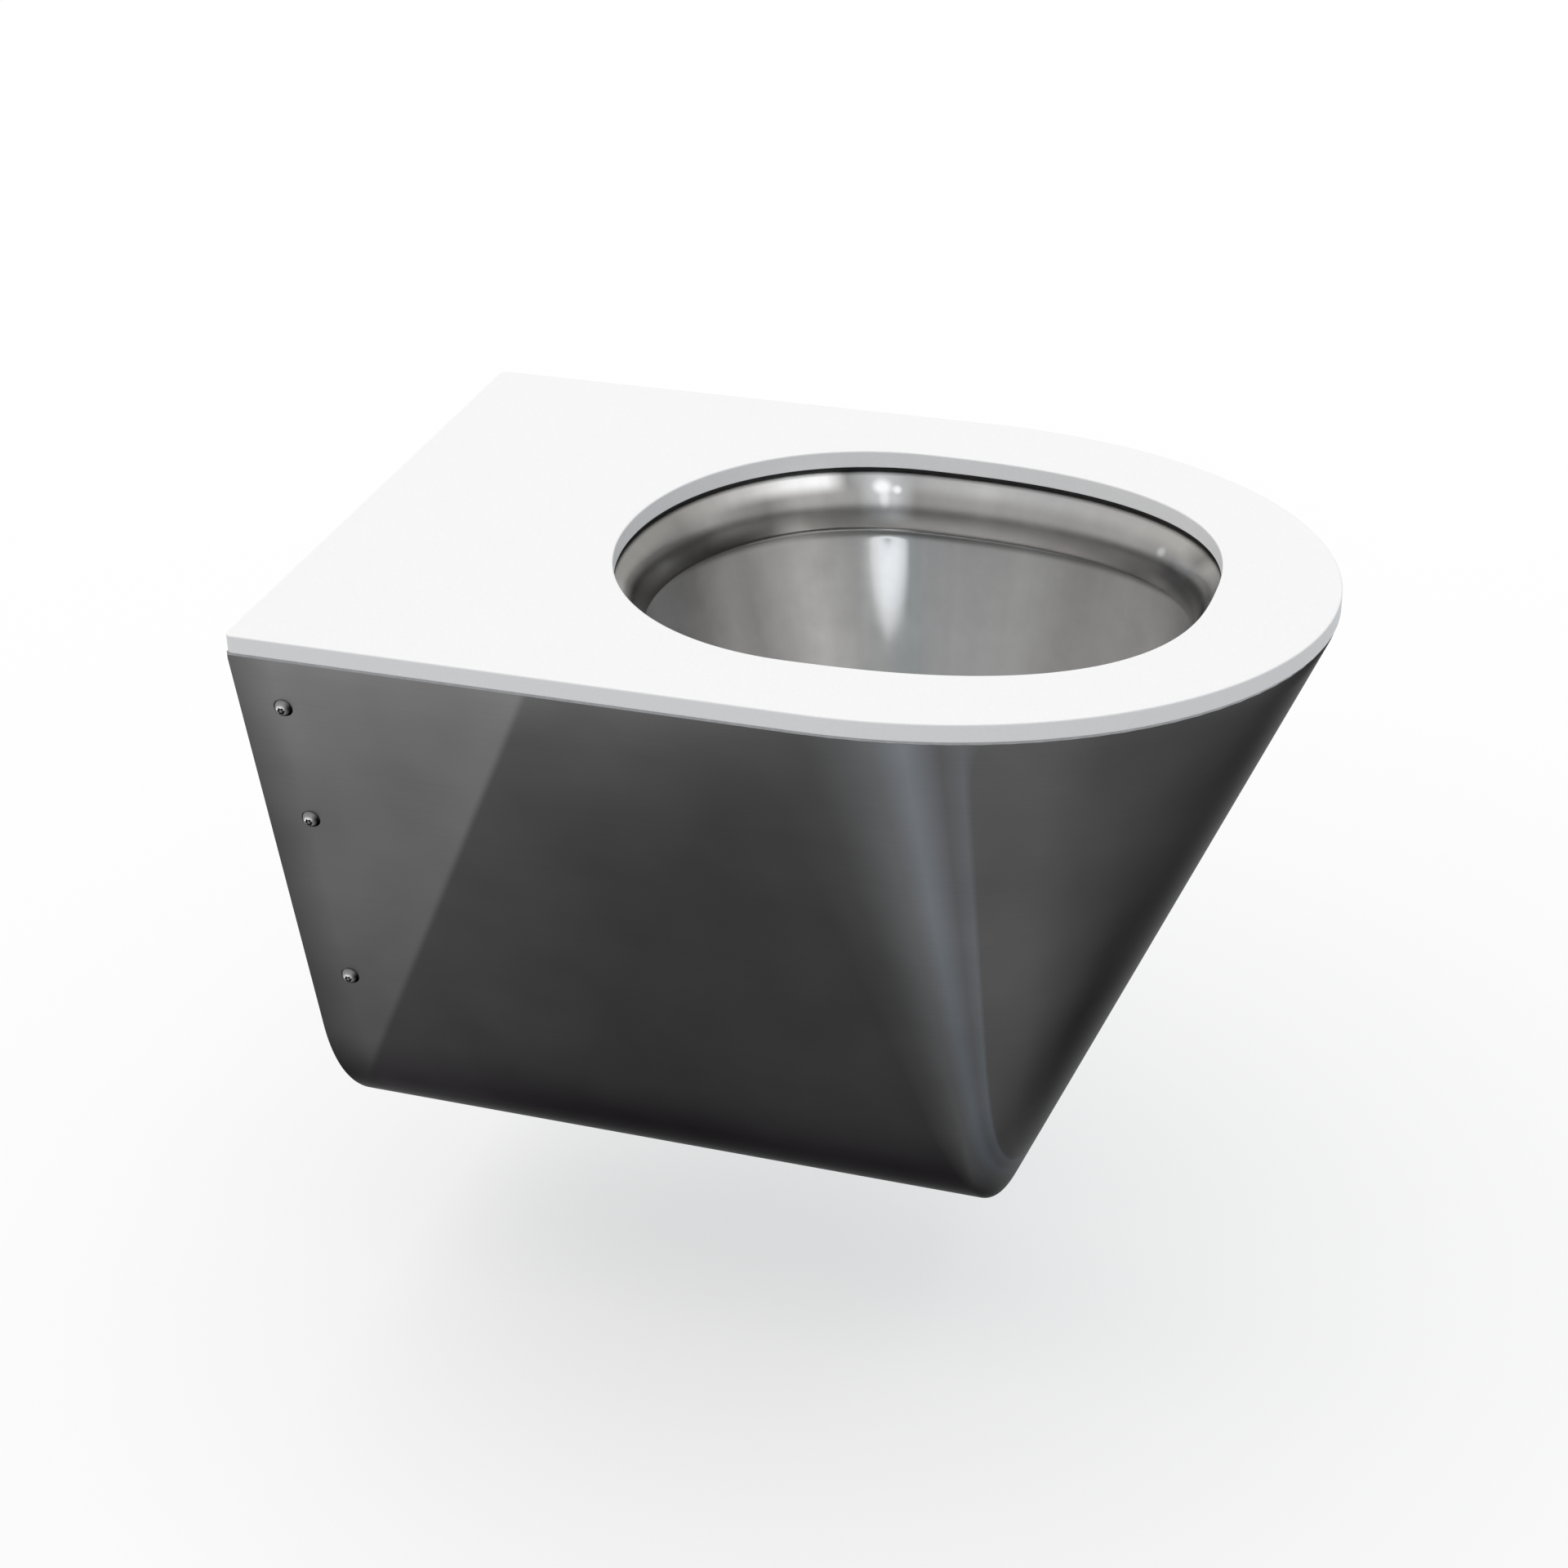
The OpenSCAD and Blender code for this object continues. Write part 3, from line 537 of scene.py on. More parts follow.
# Turn round the nose, from 0 in front to 1 at the side: by the width ahead of the fold, and by the
# length behind it
def noseTurn(tree, bend):
    ahead = addNode(tree, "ShaderNodeMath", {"operation": "MINIMUM", 1: 1.0}, {0: bend["X"]})
    ahead = addNode(tree, "ShaderNodeMath", {"operation": "ARCSINE"}, {0: ahead.outputs[0]})
    atFold = (-shellTone["foldY"] - straightLength) / noseLength
    behind = addNode(tree, "ShaderNodeMath", {"operation": "SUBTRACT", "use_clamp": True, 0: atFold},
                     {1: bend["Y"]})
    behind = addNode(tree, "ShaderNodeMath", {"operation": "ARCCOSINE"}, {0: behind.outputs[0]})
    soft = shellTone["foldBlend"] / noseLength
    past = addNode(tree, "ShaderNodeMapRange", {
        "interpolation_type": "SMOOTHSTEP", "From Min": -soft, "From Max": soft}, {"Value": bend["Y"]})
    turn = addNode(tree, "ShaderNodeMix", {"data_type": "FLOAT"}, {
        "Factor": past.outputs[0], "A": ahead.outputs[0], "B": behind.outputs[0]})
    turn = addNode(tree, "ShaderNodeMath", {"operation": "DIVIDE", 1: math.pi / 2},
                   {0: turn.outputs["Result"]})
    return turn.outputs[0]


# Painted reflections and shade of the nose, the side and the lighter rear, each giving way to the next
def paintedShellReflections(tree, bend, wall):
    s = shellTone
    turn = noseTurn(tree, bend)
    tones = {}
    for key, low, high, socket in (("noseTop", 0, 90, turn), ("noseFoot", 0, 90, turn),
                                   ("side", toneLow, toneHigh, wall["X"]),
                                   ("sideRear", toneLow, toneHigh, wall["X"])):
        ramp = addNode(tree, "ShaderNodeValToRGB", {"stops": rampStops(s[key], low, high)}, {"Fac": socket})
        tones[key] = ramp.outputs["Color"]
    # painted light: the side gets lighter towards the edge of the rear's painted reflection
    glow = addNode(tree, "ShaderNodeMapRange", {
        "From Min": rearShare(-s["rearGlow"]), "From Max": rearShare(0), "To Min": 1.0,
        "To Max": 1 + s["rearGlowStrength"]}, {"Value": wall["Y"]})
    tones["side"] = addNode(tree, "ShaderNodeVectorMath", {"operation": "SCALE"},
                            {0: tones["side"], "Scale": glow.outputs[0]}).outputs[0]
    top, foot = [heightShare(z) for z in s["noseHeights"]]
    down = addNode(tree, "ShaderNodeMapRange", {"From Min": top, "From Max": foot}, {"Value": wall["X"]})
    soft = s["rearSoftness"]
    rear = addNode(tree, "ShaderNodeMapRange", {
        "interpolation_type": "SMOOTHSTEP", "From Min": rearShare(-soft), "From Max": rearShare(soft)},
        {"Value": wall["Y"]})
    near, far = s["noseFade"]
    nose = addNode(tree, "ShaderNodeMapRange", {
        "From Min": far / noseLength, "From Max": near / noseLength}, {"Value": bend["Y"]})
    low, high = [heightShare(z) for z in s["footFade"]]
    rise = addNode(tree, "ShaderNodeMapRange", {"From Min": low, "From Max": high}, {"Value": wall["X"]})
    nose = addNode(tree, "ShaderNodeMath", {"operation": "MULTIPLY"},
                   {0: nose.outputs[0], 1: rise.outputs[0]})
    for key, share, a, b in (("nose", down, "noseTop", "noseFoot"), ("back", rear, "side", "sideRear"),
                             ("all", nose, "back", "nose")):
        blend = addNode(tree, "ShaderNodeMix", {"data_type": "RGBA"},
                        {"Factor": share.outputs[0], "A": tones[a], "B": tones[b]})
        tones[key] = blend.outputs["Result"]
    return tones["all"]


# Satin ground stainless (shell): a matt metal sheen with painted reflections and painted shade: dark at the
# nose and the belly, painted pale reflection streaks down the bend, a lighter rear in painted reflection,
# and faint level grinding lines
def satinGroundStainless():
    material, tree, surface = startMaterial("stainless_satin_ground")
    s = shellTone
    maps = []
    for name in ("bend", "wall"):
        places = addNode(tree, "ShaderNodeUVMap", {"uv_map": name}).outputs[0]
        maps.append(addNode(tree, "ShaderNodeSeparateXYZ", None, {0: places}).outputs)
    colour = paintedShellReflections(tree, *maps)
    place = addNode(tree, "ShaderNodeTexCoord").outputs["Object"]
    depth = addNode(tree, "ShaderNodeSeparateXYZ", None, {0: place}).outputs["Y"]
    # painted shade on the strip next to the wall
    shade = addNode(tree, "ShaderNodeMapRange", {
        "From Min": -s["wallShade"] * mm, "From Max": 0.0, "To Min": 1.0, "To Max": s["wallShadeTone"]},
        {"Value": depth}).outputs[0]
    long, fine = 1 / (s["grainLength"] * mm), 1 / (s["grainWidth"] * mm)
    stretch = addNode(tree, "ShaderNodeMapping", {"Scale": (long, long, fine)}, {"Vector": place})
    grain = addNode(tree, "ShaderNodeTexNoise", {"Scale": 1.0, "Detail": 3.0},
                    {"Vector": stretch.outputs[0]})
    cloud = addNode(tree, "ShaderNodeTexNoise", {"Scale": 1 / (s["cloudSize"] * mm), "Detail": 2.0},
                    {"Vector": place})
    for noise, swing in ((grain, s["grainStrength"]), (cloud, s["cloudStrength"])):
        wobble = addNode(tree, "ShaderNodeMapRange", {
            "From Min": noiseLow, "From Max": noiseHigh, "To Min": 1 - swing, "To Max": 1 + swing},
            {"Value": noise.outputs[0]})
        shade = addNode(tree, "ShaderNodeMath", {"operation": "MULTIPLY"},
                        {0: shade, 1: wobble.outputs[0]}).outputs[0]
    toned = addNode(tree, "ShaderNodeVectorMath", {"operation": "SCALE"}, {0: colour, "Scale": shade})
    swing = s["roughnessSwing"]
    gloss = addNode(tree, "ShaderNodeMapRange", {
        "To Min": s["roughness"] - swing, "To Max": s["roughness"] + swing}, {"Value": grain.outputs[0]})
    setNode(tree, surface, {"Metallic": 1.0, "Specular Tint": hexColour(s["edgeTint"])},
            {"Base Color": toned.outputs[0], "Roughness": gloss.outputs[0]})
    return material


shell = makeShell()
finishMesh(shell, satinGroundStainless(), "shell_steel", "outer_shell")
print("outer shell made,", len(shell.data.polygons), "faces")

# Seat slab: a flat D with an egg-shaped hole, its edges barely broken
slabSet = {
    "edgeRound": 0.8,
    "edgeRows": 4,
    "underRound": 0.4,
    "support": 0.5,  # ring beside each rounding, so that the flat faces stay flat
    "angleSteps": 300,
}


def makeSeat():
    corner, count = panShape["cornerRadius"], panShape["cornerPoints"]
    r, under = slabSet["edgeRound"], slabSet["underRound"]
    top, low = panShape["top"], panShape["top"] - panShape["slab"]
    centre = np.array([0.0, holeMiddle])
    corners = slabOutline(0, corner)
    corners = np.concatenate([corners[:count], corners[-count:]]) - centre
    angles = np.concatenate([np.linspace(0, 2 * math.pi, slabSet["angleSteps"], endpoint=False),
                             np.arctan2(corners[:, 1], corners[:, 0]) % (2 * math.pi)])
    angles = np.unique(np.round(angles, 6))
    wide = slabSet["support"]
    a = arc(0, 90, slabSet["edgeRows"] + 1)
    rounding = list(zip(r * (1 - np.cos(a)), top - r * (1 - np.sin(a))))
    outer = [(under, low), (0, low + under)] + [(0, top - r - wide)] + rounding + [(r + wide, top)]
    hole = outer[::-1] + [(under + wide, low)]
    outer = [(under + wide, low)] + outer
    rings = []
    for inset, z in outer:
        points = rayPoints(slabOutline(inset, corner), centre, angles)
        rings.append(np.column_stack([points, np.full(len(points), z)]))
    for out, z in hole:
        points = rayPoints(holeOutline(out), centre, angles)
        rings.append(np.column_stack([points, np.full(len(points), z)]))
    return loftRings("seat_slab", rings)


# Cast solid surface (seat): even matt white with a soft sheen and hardly any grain
seatFinish = {
    "name": "solid_surface_cast_white",
    "tones": ("#f5f5f5", "#f8f8f8"),
    "grain": (1.2, 1.2, 1.2),
    "detail": 2.0,
    "depth": 0.05,
    "roughness": 0.5,
    "metallic": 0.0,
    "bump": 0.04,
    "specular": 0.25,
}
seat = makeSeat()
finishMesh(seat, evenMaterial(seatFinish), "seat", "seat_plate")
print("seat slab made")

# Bowl and rim, pressed from sheet. Their rings follow the slab's hole at first, and the bowl's then
# narrow to the round neck
bowlSet = {
    "sheet": 1.5,
    "neckRadius": 38,
    "neckShare": 0.505,  # place of the neck's middle along the hole, from its back
    "neckTop": -151,
    "neckEnd": -166,
    "flangeOut": 26,
    "behindLip": 7,
    "channel": 20,
    "channelDrops": (0.12, 0.5, 0.8),
    "channelIns": (0, 0.1, 0.42),
    "drops": (0, 0.03, 0.13, 0.28, 0.43, 0.57, 0.7, 0.81, 0.9, 0.96, 1),
    "narrows": (0, 0.009, 0.05, 0.13, 0.23, 0.35, 0.49, 0.64, 0.8, 0.93, 1),
    "stepsBetween": 5,
    "around": 240,
}
rimSet = {
    "sheet": 1.5,
    "gasketSetBack": 1.5,
    "flatInside": 1,  # flat left between the flange and the roll
    "bulge": 14,
    "height": 32,
    "rollShare": 0.84,
    "undercut": 5,
    "lipSharpness": 3,
    "topRows": 18,
    "lowRows": 10,
    "slot": 2,
}
holeLength = panShape["holeBack"] + holeFrontLength
neckMiddle = holeMiddle + panShape["holeBack"] - holeLength * bowlSet["neckShare"]


# Ring of the rim or the bowl: the hole's outline, set outwards by out and narrowed to the neck by a share
def bowlRing(out, narrow):
    s = bowlSet
    hole = (holeHalf, panShape["holeBack"], holeFrontLength, holeMiddle,
            panShape["backRoundness"], panShape["frontRoundness"])
    neck = (s["neckRadius"], s["neckRadius"], s["neckRadius"], neckMiddle, 2, 2)
    half, back, front, middle, backRound, frontRound = [a + (b - a) * narrow for a, b in zip(hole, neck)]
    return oval(half + out, back + out, front + out, middle, backRound, frontRound, s["around"])


# Passes a smooth line through points, with steps in between
def smoothLine(points, steps):
    points = np.asarray(points, float)
    padded = np.vstack([2 * points[0] - points[1], points, 2 * points[-1] - points[-2]])
    line = []
    for i in range(1, len(padded) - 2):
        a, b, c, d = padded[i - 1:i + 3]
        for t in np.linspace(0, 1, steps, endpoint=False):
            line.append(0.5 * (2 * b + (c - a) * t + (2 * a - 5 * b + 4 * c - d) * t * t
                               + (3 * b - a - 3 * c + d) * t ** 3))
    return np.array(line + [points[-1]])


# Pressed sheet: the seen face follows a section of (out, narrow, z), the back face lies a sheet behind
def pressedSheet(name, section, sheet):
    section = np.asarray(section, float)
    half = holeHalf + (bowlSet["neckRadius"] - holeHalf) * section[:, 1] + section[:, 0]
    across, down = np.gradient(half), np.gradient(section[:, 2])
    size = np.hypot(across, down)
    back = section + np.column_stack([-down / size, np.zeros(len(size)), across / size]) * sheet
    rings = []
    for out, narrow, z in np.vstack([section, back[::-1]]):
        ring = bowlRing(out, narrow)
        rings.append(np.column_stack([ring, np.full(len(ring), z)]))
    return loftRings(name, rings)


def rimSection():
    s = rimSet
    reach = s["gasketSetBack"] + s["bulge"]
    fall = s["height"] * s["rollShare"]
    top = arc(0, 90, s["topRows"])
    low = np.linspace(0, 1, s["lowRows"])[1:]
    outs = np.concatenate([s["gasketSetBack"] - reach * np.sin(top),
                           -s["bulge"] + s["undercut"] * low ** s["lipSharpness"]])
    heights = np.concatenate([deckUnder - fall * (1 - np.cos(top)),
                              deckUnder - fall - (s["height"] - fall) * low])
    section = [(bowlSet["flangeOut"], 0, deckUnder), (s["gasketSetBack"] + s["flatInside"], 0, deckUnder)]
    return section + [(out, 0, z) for out, z in zip(outs, heights)]


def bowlSection(lipOut):
    s = bowlSet
    lipOut = lipOut + s["behindLip"]
    under = deckUnder - rimSet["sheet"]
    shoulder = deckUnder - rimSet["height"] - rimSet["slot"]
    channel = [(s["channel"] + (lipOut - s["channel"]) * inward, 0, under + (shoulder - under) * drop)
               for drop, inward in zip(s["channelDrops"], s["channelIns"])]
    funnel = [(lipOut * (1 - narrow), narrow, shoulder + (s["neckTop"] - shoulder) * drop)
              for drop, narrow in zip(s["drops"], s["narrows"])]
    line = smoothLine(channel + funnel, s["stepsBetween"])
    return np.vstack([[(s["flangeOut"], 0, under), (s["channel"], 0, under)], line, [(0, 1, s["neckEnd"])]])


# Painted reflections round the pan, from its front (0) by either side to its back (180). The bowl and the
# underside of the rim mirror each other several times, so their painted tones are set paler than they look
bowlTone = {
    "around": ((0, "#cccccc"), (29, "#e8e8e6"), (40, "#d4d2d0"), (60, "#b8b8b7"), (72, "#c6c6c6"),
               (94, "#c2c2c3"), (102, "#c0c4c6"), (119, "#e0e1df"), (128, "#eeecea"), (136, "#cccaca"),
               (144, "#b2b0b0"), (156, "#c4c2c2"), (180, "#b2b2b2")),
    "streak": ((0, "#000000"), (103, "#000000"), (105, "#a8a8a8"), (109, "#ffffff"), (110, "#f8f8f8"),
               (112, "#c0c0c0"), (114, "#808080"), (117, "#000000"), (180, "#000000")),
    "streakColour": "#f6f9fd",
    "streakFade": (-40, 17),  # heights between which the painted highlight streak comes in
    "shoulder": (31, 27),  # heights between which the painted shade under the rim's lip ends
    # how dark the painted shade under the lip makes the bands
    "shoulderTone": 0.7,
    "streakLean": 0.6,  # how far the normals in the painted highlight streak are tilted up, so that it mirrors the bright sky
    "roughness": 0.3,
}
rimTone = {
    "top": ((0, "#404040"), (9, "#555555"), (19, "#9c9a96"), (24, "#807d7b"), (31, "#aeaca8"),
            (66, "#acacac"), (84, "#bcbcba"), (102, "#a8a8a8"), (111, "#c8cacc"), (117, "#a0a0a0"),
            (119, "#929292"), (124, "#fdfdfd"), (132, "#f8f8f8"), (143, "#c4c2c0"), (164, "#8e8c88"),
            (180, "#908e8a")),
    "middle": ((0, "#b0b0b0"), (22, "#a8a8a8"), (30, "#929292"), (44, "#9e9d9b"), (60, "#9a9997"),
               (84, "#9e9d9b"), (102, "#929190"), (108, "#c8cacc"), (112, "#c4c6c8"), (117, "#a0a09e"),
               (132, "#aeacaa"), (140, "#828080"), (156, "#9c9a98"), (164, "#848280"), (180, "#868482")),
    "low": ((0, "#f0eeec"), (28, "#f0eeec"), (40, "#a6a4a2"), (60, "#ccc9c8"), (84, "#e2e0de"),
            (132, "#dedcda"), (140, "#848280"), (148, "#686664"), (180, "#6c6a68")),
    "topToMiddle": (65, 58),  # heights between which one ring of tones gives way to the next
    "middleToLow": (49, 40),
    "lowToCrease": (37, 34),
    # painted shade in the crease between the roll and the bowl
    "crease": "#606060",
    # painted highlights, small bright spots on the roll: degrees round, height, half width in degrees, half
    # height, strength
    "glints": ((110.6, 62, 3.4, 4.8, 1.0), (106.9, 61, 1.7, 2.8, 0.85), (110.2, 56, 1.9, 8, 0.6),
               (34.7, 58.5, 1.6, 3.5, 0.3)),
    "glintCore": 0.2,  # share of a spot that has its full strength
    "glintColour": "#fbfdff",
    "roughness": 0.25,
}
toneCentre = -300  # the tones turn round this place on the pan's length


# Coordinates that both pressed finishes use: the turn round the pan (0 to 1) and the height
def roundThePan(tree):
    place = addNode(tree, "ShaderNodeTexCoord").outputs["Object"]
    axes = addNode(tree, "ShaderNodeSeparateXYZ", None, {0: place}).outputs
    side = addNode(tree, "ShaderNodeMath", {"operation": "ABSOLUTE"}, {0: axes["X"]}).outputs[0]
    ahead = addNode(tree, "ShaderNodeMath", {"operation": "SUBTRACT", 0: toneCentre * mm}, {1: axes["Y"]})
    turn = addNode(tree, "ShaderNodeMath", {"operation": "ARCTAN2"}, {0: side, 1: ahead.outputs[0]})
    turn = addNode(tree, "ShaderNodeMath", {"operation": "DIVIDE", 1: math.pi}, {0: turn.outputs[0]})
    return place, axes, turn.outputs[0]


# What polishing leaves on pressed sheet: a cloudy wobble of tone and gloss, and faint marks running down
polishSet = {
    "cloudSize": 16,
    "cloudStrength": 0.07,
    "markCount": 45,
    "markLength": 90,
    "markStrength": 0.035,
    "lighterShare": 0.5,  # a wobble lightens by this share of what it darkens
    "roughnessSwing": 0.04,
}


def polishedSheet(tree, surface, place, axes, turn, tone, roughness):
    s = polishSet
    turns = addNode(tree, "ShaderNodeMath", {"operation": "MULTIPLY", 1: float(s["markCount"])}, {0: turn})
    down = addNode(tree, "ShaderNodeMath", {"operation": "DIVIDE", 1: s["markLength"] * mm}, {0: axes["Z"]})
    strip = addNode(tree, "ShaderNodeCombineXYZ", None,
                    {"X": turns.outputs[0], "Y": down.outputs[0], "Z": axes["X"]})
    marks = addNode(tree, "ShaderNodeTexNoise", {"Scale": 1.0, "Detail": 3.0}, {"Vector": strip.outputs[0]})
    cloud = addNode(tree, "ShaderNodeTexNoise", {"Scale": 1 / (s["cloudSize"] * mm), "Detail": 4.0},
                    {"Vector": place})
    for noise, swing in ((marks, s["markStrength"]), (cloud, s["cloudStrength"])):
        shade = addNode(tree, "ShaderNodeMapRange", {
            "From Min": noiseLow, "From Max": noiseHigh, "To Min": 1 - swing,
            "To Max": 1 + swing * s["lighterShare"]}, {"Value": noise.outputs[0]})
        tone = addNode(tree, "ShaderNodeVectorMath", {"operation": "SCALE"},
                       {0: tone, "Scale": shade.outputs[0]}).outputs[0]
    gloss = addNode(tree, "ShaderNodeMapRange", {
        "To Min": roughness - s["roughnessSwing"], "To Max": roughness + s["roughnessSwing"]},
        {"Value": cloud.outputs[0]})
    setNode(tree, surface, {"Metallic": 1.0}, {"Base Color": tone, "Roughness": gloss.outputs[0]})


# Pressed and satin polished stainless (bowl): painted reflections as smooth grey bands and one painted
# highlight streak down the funnel
def satinPolishedStainless():
    material, tree, surface = startMaterial("stainless_pressed_satin_polished")
    place, axes, turn = roundThePan(tree)
    stops = rampStops(bowlTone["around"], 0, 180)
    bands = addNode(tree, "ShaderNodeValToRGB", {"stops": stops}, {"Fac": turn}).outputs["Color"]
    stops = rampStops(bowlTone["streak"], 0, 180)
    streak = addNode(tree, "ShaderNodeValToRGB", {"stops": stops}, {"Fac": turn}).outputs["Color"]
    low, high = bowlTone["streakFade"]
    fade = addNode(tree, "ShaderNodeMapRange", {"From Min": low * mm, "From Max": high * mm},
                   {"Value": axes["Z"]}).outputs[0]
    streak = addNode(tree, "ShaderNodeMath", {"operation": "MULTIPLY"}, {0: streak, 1: fade}).outputs[0]
    # painted shade under the rim's lip
    high, low = bowlTone["shoulder"]
    lit = addNode(tree, "ShaderNodeMapRange", {
        "interpolation_type": "SMOOTHSTEP", "From Min": high * mm, "From Max": low * mm},
        {"Value": axes["Z"]}).outputs[0]
    streak = addNode(tree, "ShaderNodeMath", {"operation": "MULTIPLY"}, {0: streak, 1: lit}).outputs[0]
    shade = addNode(tree, "ShaderNodeMapRange", {"To Min": bowlTone["shoulderTone"], "To Max": 1.0},
                    {"Value": lit}).outputs[0]
    bands = addNode(tree, "ShaderNodeVectorMath", {"operation": "SCALE"},
                    {0: bands, "Scale": shade}).outputs[0]
    tone = addNode(tree, "ShaderNodeMix", {"data_type": "RGBA", "B": hexColour(bowlTone["streakColour"])},
                   {"Factor": streak, "A": bands}).outputs["Result"]
    # the painted highlight streak's normals lean up, so that it mirrors the bright sky
    facing = addNode(tree, "ShaderNodeNewGeometry").outputs["Normal"]
    lean = addNode(tree, "ShaderNodeVectorMath", {"operation": "SCALE", 0: (0, 0, bowlTone["streakLean"])},
                   {"Scale": streak}).outputs[0]
    facing = addNode(tree, "ShaderNodeVectorMath", {"operation": "ADD"}, {0: facing, 1: lean}).outputs[0]
    facing = addNode(tree, "ShaderNodeVectorMath", {"operation": "NORMALIZE"}, {0: facing}).outputs[0]
    tree.links.new(facing, surface.inputs["Normal"])
    polishedSheet(tree, surface, place, axes, turn, tone, bowlTone["roughness"])
    return material


# Bright polished stainless (rim): painted reflections as crisp light and dark bars along the roll, painted
# shade in the crease and painted glints
def brightPolishedStainless():
    material, tree, surface = startMaterial("stainless_bright_polished")
    place, axes, turn = roundThePan(tree)
    tone = None
    for key, heights in (("top", None), ("middle", "topToMiddle"), ("low", "middleToLow")):
        stops = rampStops(rimTone[key], 0, 180)
        ring = addNode(tree, "ShaderNodeValToRGB", {"stops": stops}, {"Fac": turn}).outputs["Color"]
        if heights:
            high, low = rimTone[heights]
            share = addNode(tree, "ShaderNodeMapRange", {
                "interpolation_type": "SMOOTHSTEP", "From Min": high * mm, "From Max": low * mm},
                {"Value": axes["Z"]}).outputs[0]
            ring = addNode(tree, "ShaderNodeMix", {"data_type": "RGBA"},
                           {"Factor": share, "A": tone, "B": ring}).outputs["Result"]
        tone = ring
    # painted shade in the crease
    high, low = rimTone["lowToCrease"]
    share = addNode(tree, "ShaderNodeMapRange", {"From Min": high * mm, "From Max": low * mm},
                    {"Value": axes["Z"]}).outputs[0]
    tone = addNode(tree, "ShaderNodeMix", {"data_type": "RGBA", "B": hexColour(rimTone["crease"])},
                   {"Factor": share, "A": tone}).outputs["Result"]
    # painted glints: small painted highlights on the roll
    spot = addNode(tree, "ShaderNodeCombineXYZ", None, {"X": turn, "Y": axes["Z"]}).outputs[0]
    core = rimTone["glintCore"]
    for angle, height, wide, tall, strength in rimTone["glints"]:
        scale = (180 / wide, 1 / (tall * mm), 0)
        middle = (-angle / wide, -height / tall, 0)
        reach = addNode(tree, "ShaderNodeMapping", {"Scale": scale, "Location": middle}, {"Vector": spot})
        reach = addNode(tree, "ShaderNodeVectorMath", {"operation": "LENGTH"}, {0: reach.outputs[0]})
        glint = addNode(tree, "ShaderNodeMapRange", {
            "interpolation_type": "SMOOTHSTEP", "From Min": 1.0, "From Max": core, "To Max": strength},
            {"Value": reach.outputs["Value"]})
        tone = addNode(tree, "ShaderNodeMix", {"data_type": "RGBA", "B": hexColour(rimTone["glintColour"])},
                       {"Factor": glint.outputs[0], "A": tone}).outputs["Result"]
    polishedSheet(tree, surface, place, axes, turn, tone, rimTone["roughness"])
    return material


section = rimSection()
rim = pressedSheet("flushing_rim", section, rimSet["sheet"])
finishMesh(rim, brightPolishedStainless(), "polished_steel", "flush_rim")
bowl = pressedSheet("pressed_bowl", bowlSection(section[-1][0]), bowlSet["sheet"])
finishMesh(bowl, satinPolishedStainless(), "bowl_steel", "bowl")
print("rim and bowl made")

# Side screws: button heads with a six-lobed socket round a pin
screwSet = {
    "fromWall": 25,
    "drops": (0.112, 0.311, 0.614),  # shares of the pan's height, down from the top
    "thread": 6,
    "length": 16,
    "tipBevel": 0.8,
    "headWidth": 10.5,
    "headHeight": 3.3,
    "underHead": 0.1,  # how far below the head's foot the thread ends
    "footSteps": ((0.3, -0.02), (0, 0.12)),  # in from the head's edge, and up
    "domeEnds": (0.05, 0.35),  # the dome's rings start in from its edge and end out from the lobes
    "domeRows": 9,
    "lobes": 6,
    "lobeRadius": 1.96,
    "lobeDepth": 0.3,
    "socketBevel": 0.08,
    "socketDepth": 1.8,
    "pinRadius": 0.95,
    "pinDrop": 0.2,
    "pinBevel": 0.15,
    "around": 72,
    "sharpAngle": 35,
    # painted light and painted shade on the head: tones along the profile, from the end of the thread (0) to
    # the top of the pin (1), for its lit and its shaded side
    "litTones": ((0.0, "#808080"), (0.18, "#404040"), (0.24, "#585858"), (0.34, "#7c7c7c"),
                 (0.55, "#8c8c8c"), (0.66, "#c8c8c8"), (0.72, "#e6e6e6"), (0.76, "#d8d8d8"),
                 (0.8, "#202020"), (0.88, "#1c1c1c"), (0.92, "#5c5c5c"), (1.0, "#707070")),
    "shadeTones": ((0.0, "#808080"), (0.18, "#0c0c0c"), (0.42, "#101010"), (0.52, "#3c3c3c"),
                   (0.66, "#6c6c6c"), (0.76, "#888888"), (0.8, "#181818"), (0.88, "#141414"),
                   (0.92, "#505050"), (1.0, "#646464")),
    "litTurn": 45,  # degrees up from the wall's side, where the painted light on the dome is brightest
    "litShares": (0.25, 0.75),
    "edgeTint": "#808080",
    "roughness": 0.25,
    "grainSize": 3,
    "grainStrength": 0.15,
}


# Rings of one screw round its own axis, from the end of the thread to the top of the pin
def screwRings(a):
    s = screwSet
    radius, height, shank = s["headWidth"] / 2, s["headHeight"], s["thread"] / 2
    floor, pin, bevel = height - s["socketDepth"], s["pinRadius"], s["pinBevel"]
    ball = (radius ** 2 + height ** 2) / (2 * height)
    lobes = s["lobeRadius"] + s["lobeDepth"] * np.cos(s["lobes"] * a)

    def dome(r):
        return height - ball + np.sqrt(ball ** 2 - r ** 2)

    tip, end = -s["length"], height - s["pinDrop"]
    profile = [(shank - s["tipBevel"], tip), (shank, tip + s["tipBevel"]), (shank, -s["underHead"])]
    profile += [(radius - inset, up) for inset, up in s["footSteps"]]
    start, stop = s["domeEnds"]
    profile += [(r, dome(r)) for r in np.linspace(radius - start, lobes.max() + stop, s["domeRows"])]
    edge = lobes + s["socketBevel"]
    profile += [(edge, dome(edge)), (lobes, dome(lobes) - s["socketBevel"]), (lobes, floor)]
    profile += [(pin, floor), (pin, end - bevel), (pin - bevel, end)]
    return np.stack([np.column_stack([r * np.cos(a), r * np.sin(a), z + 0 * a]) for r, z in profile])


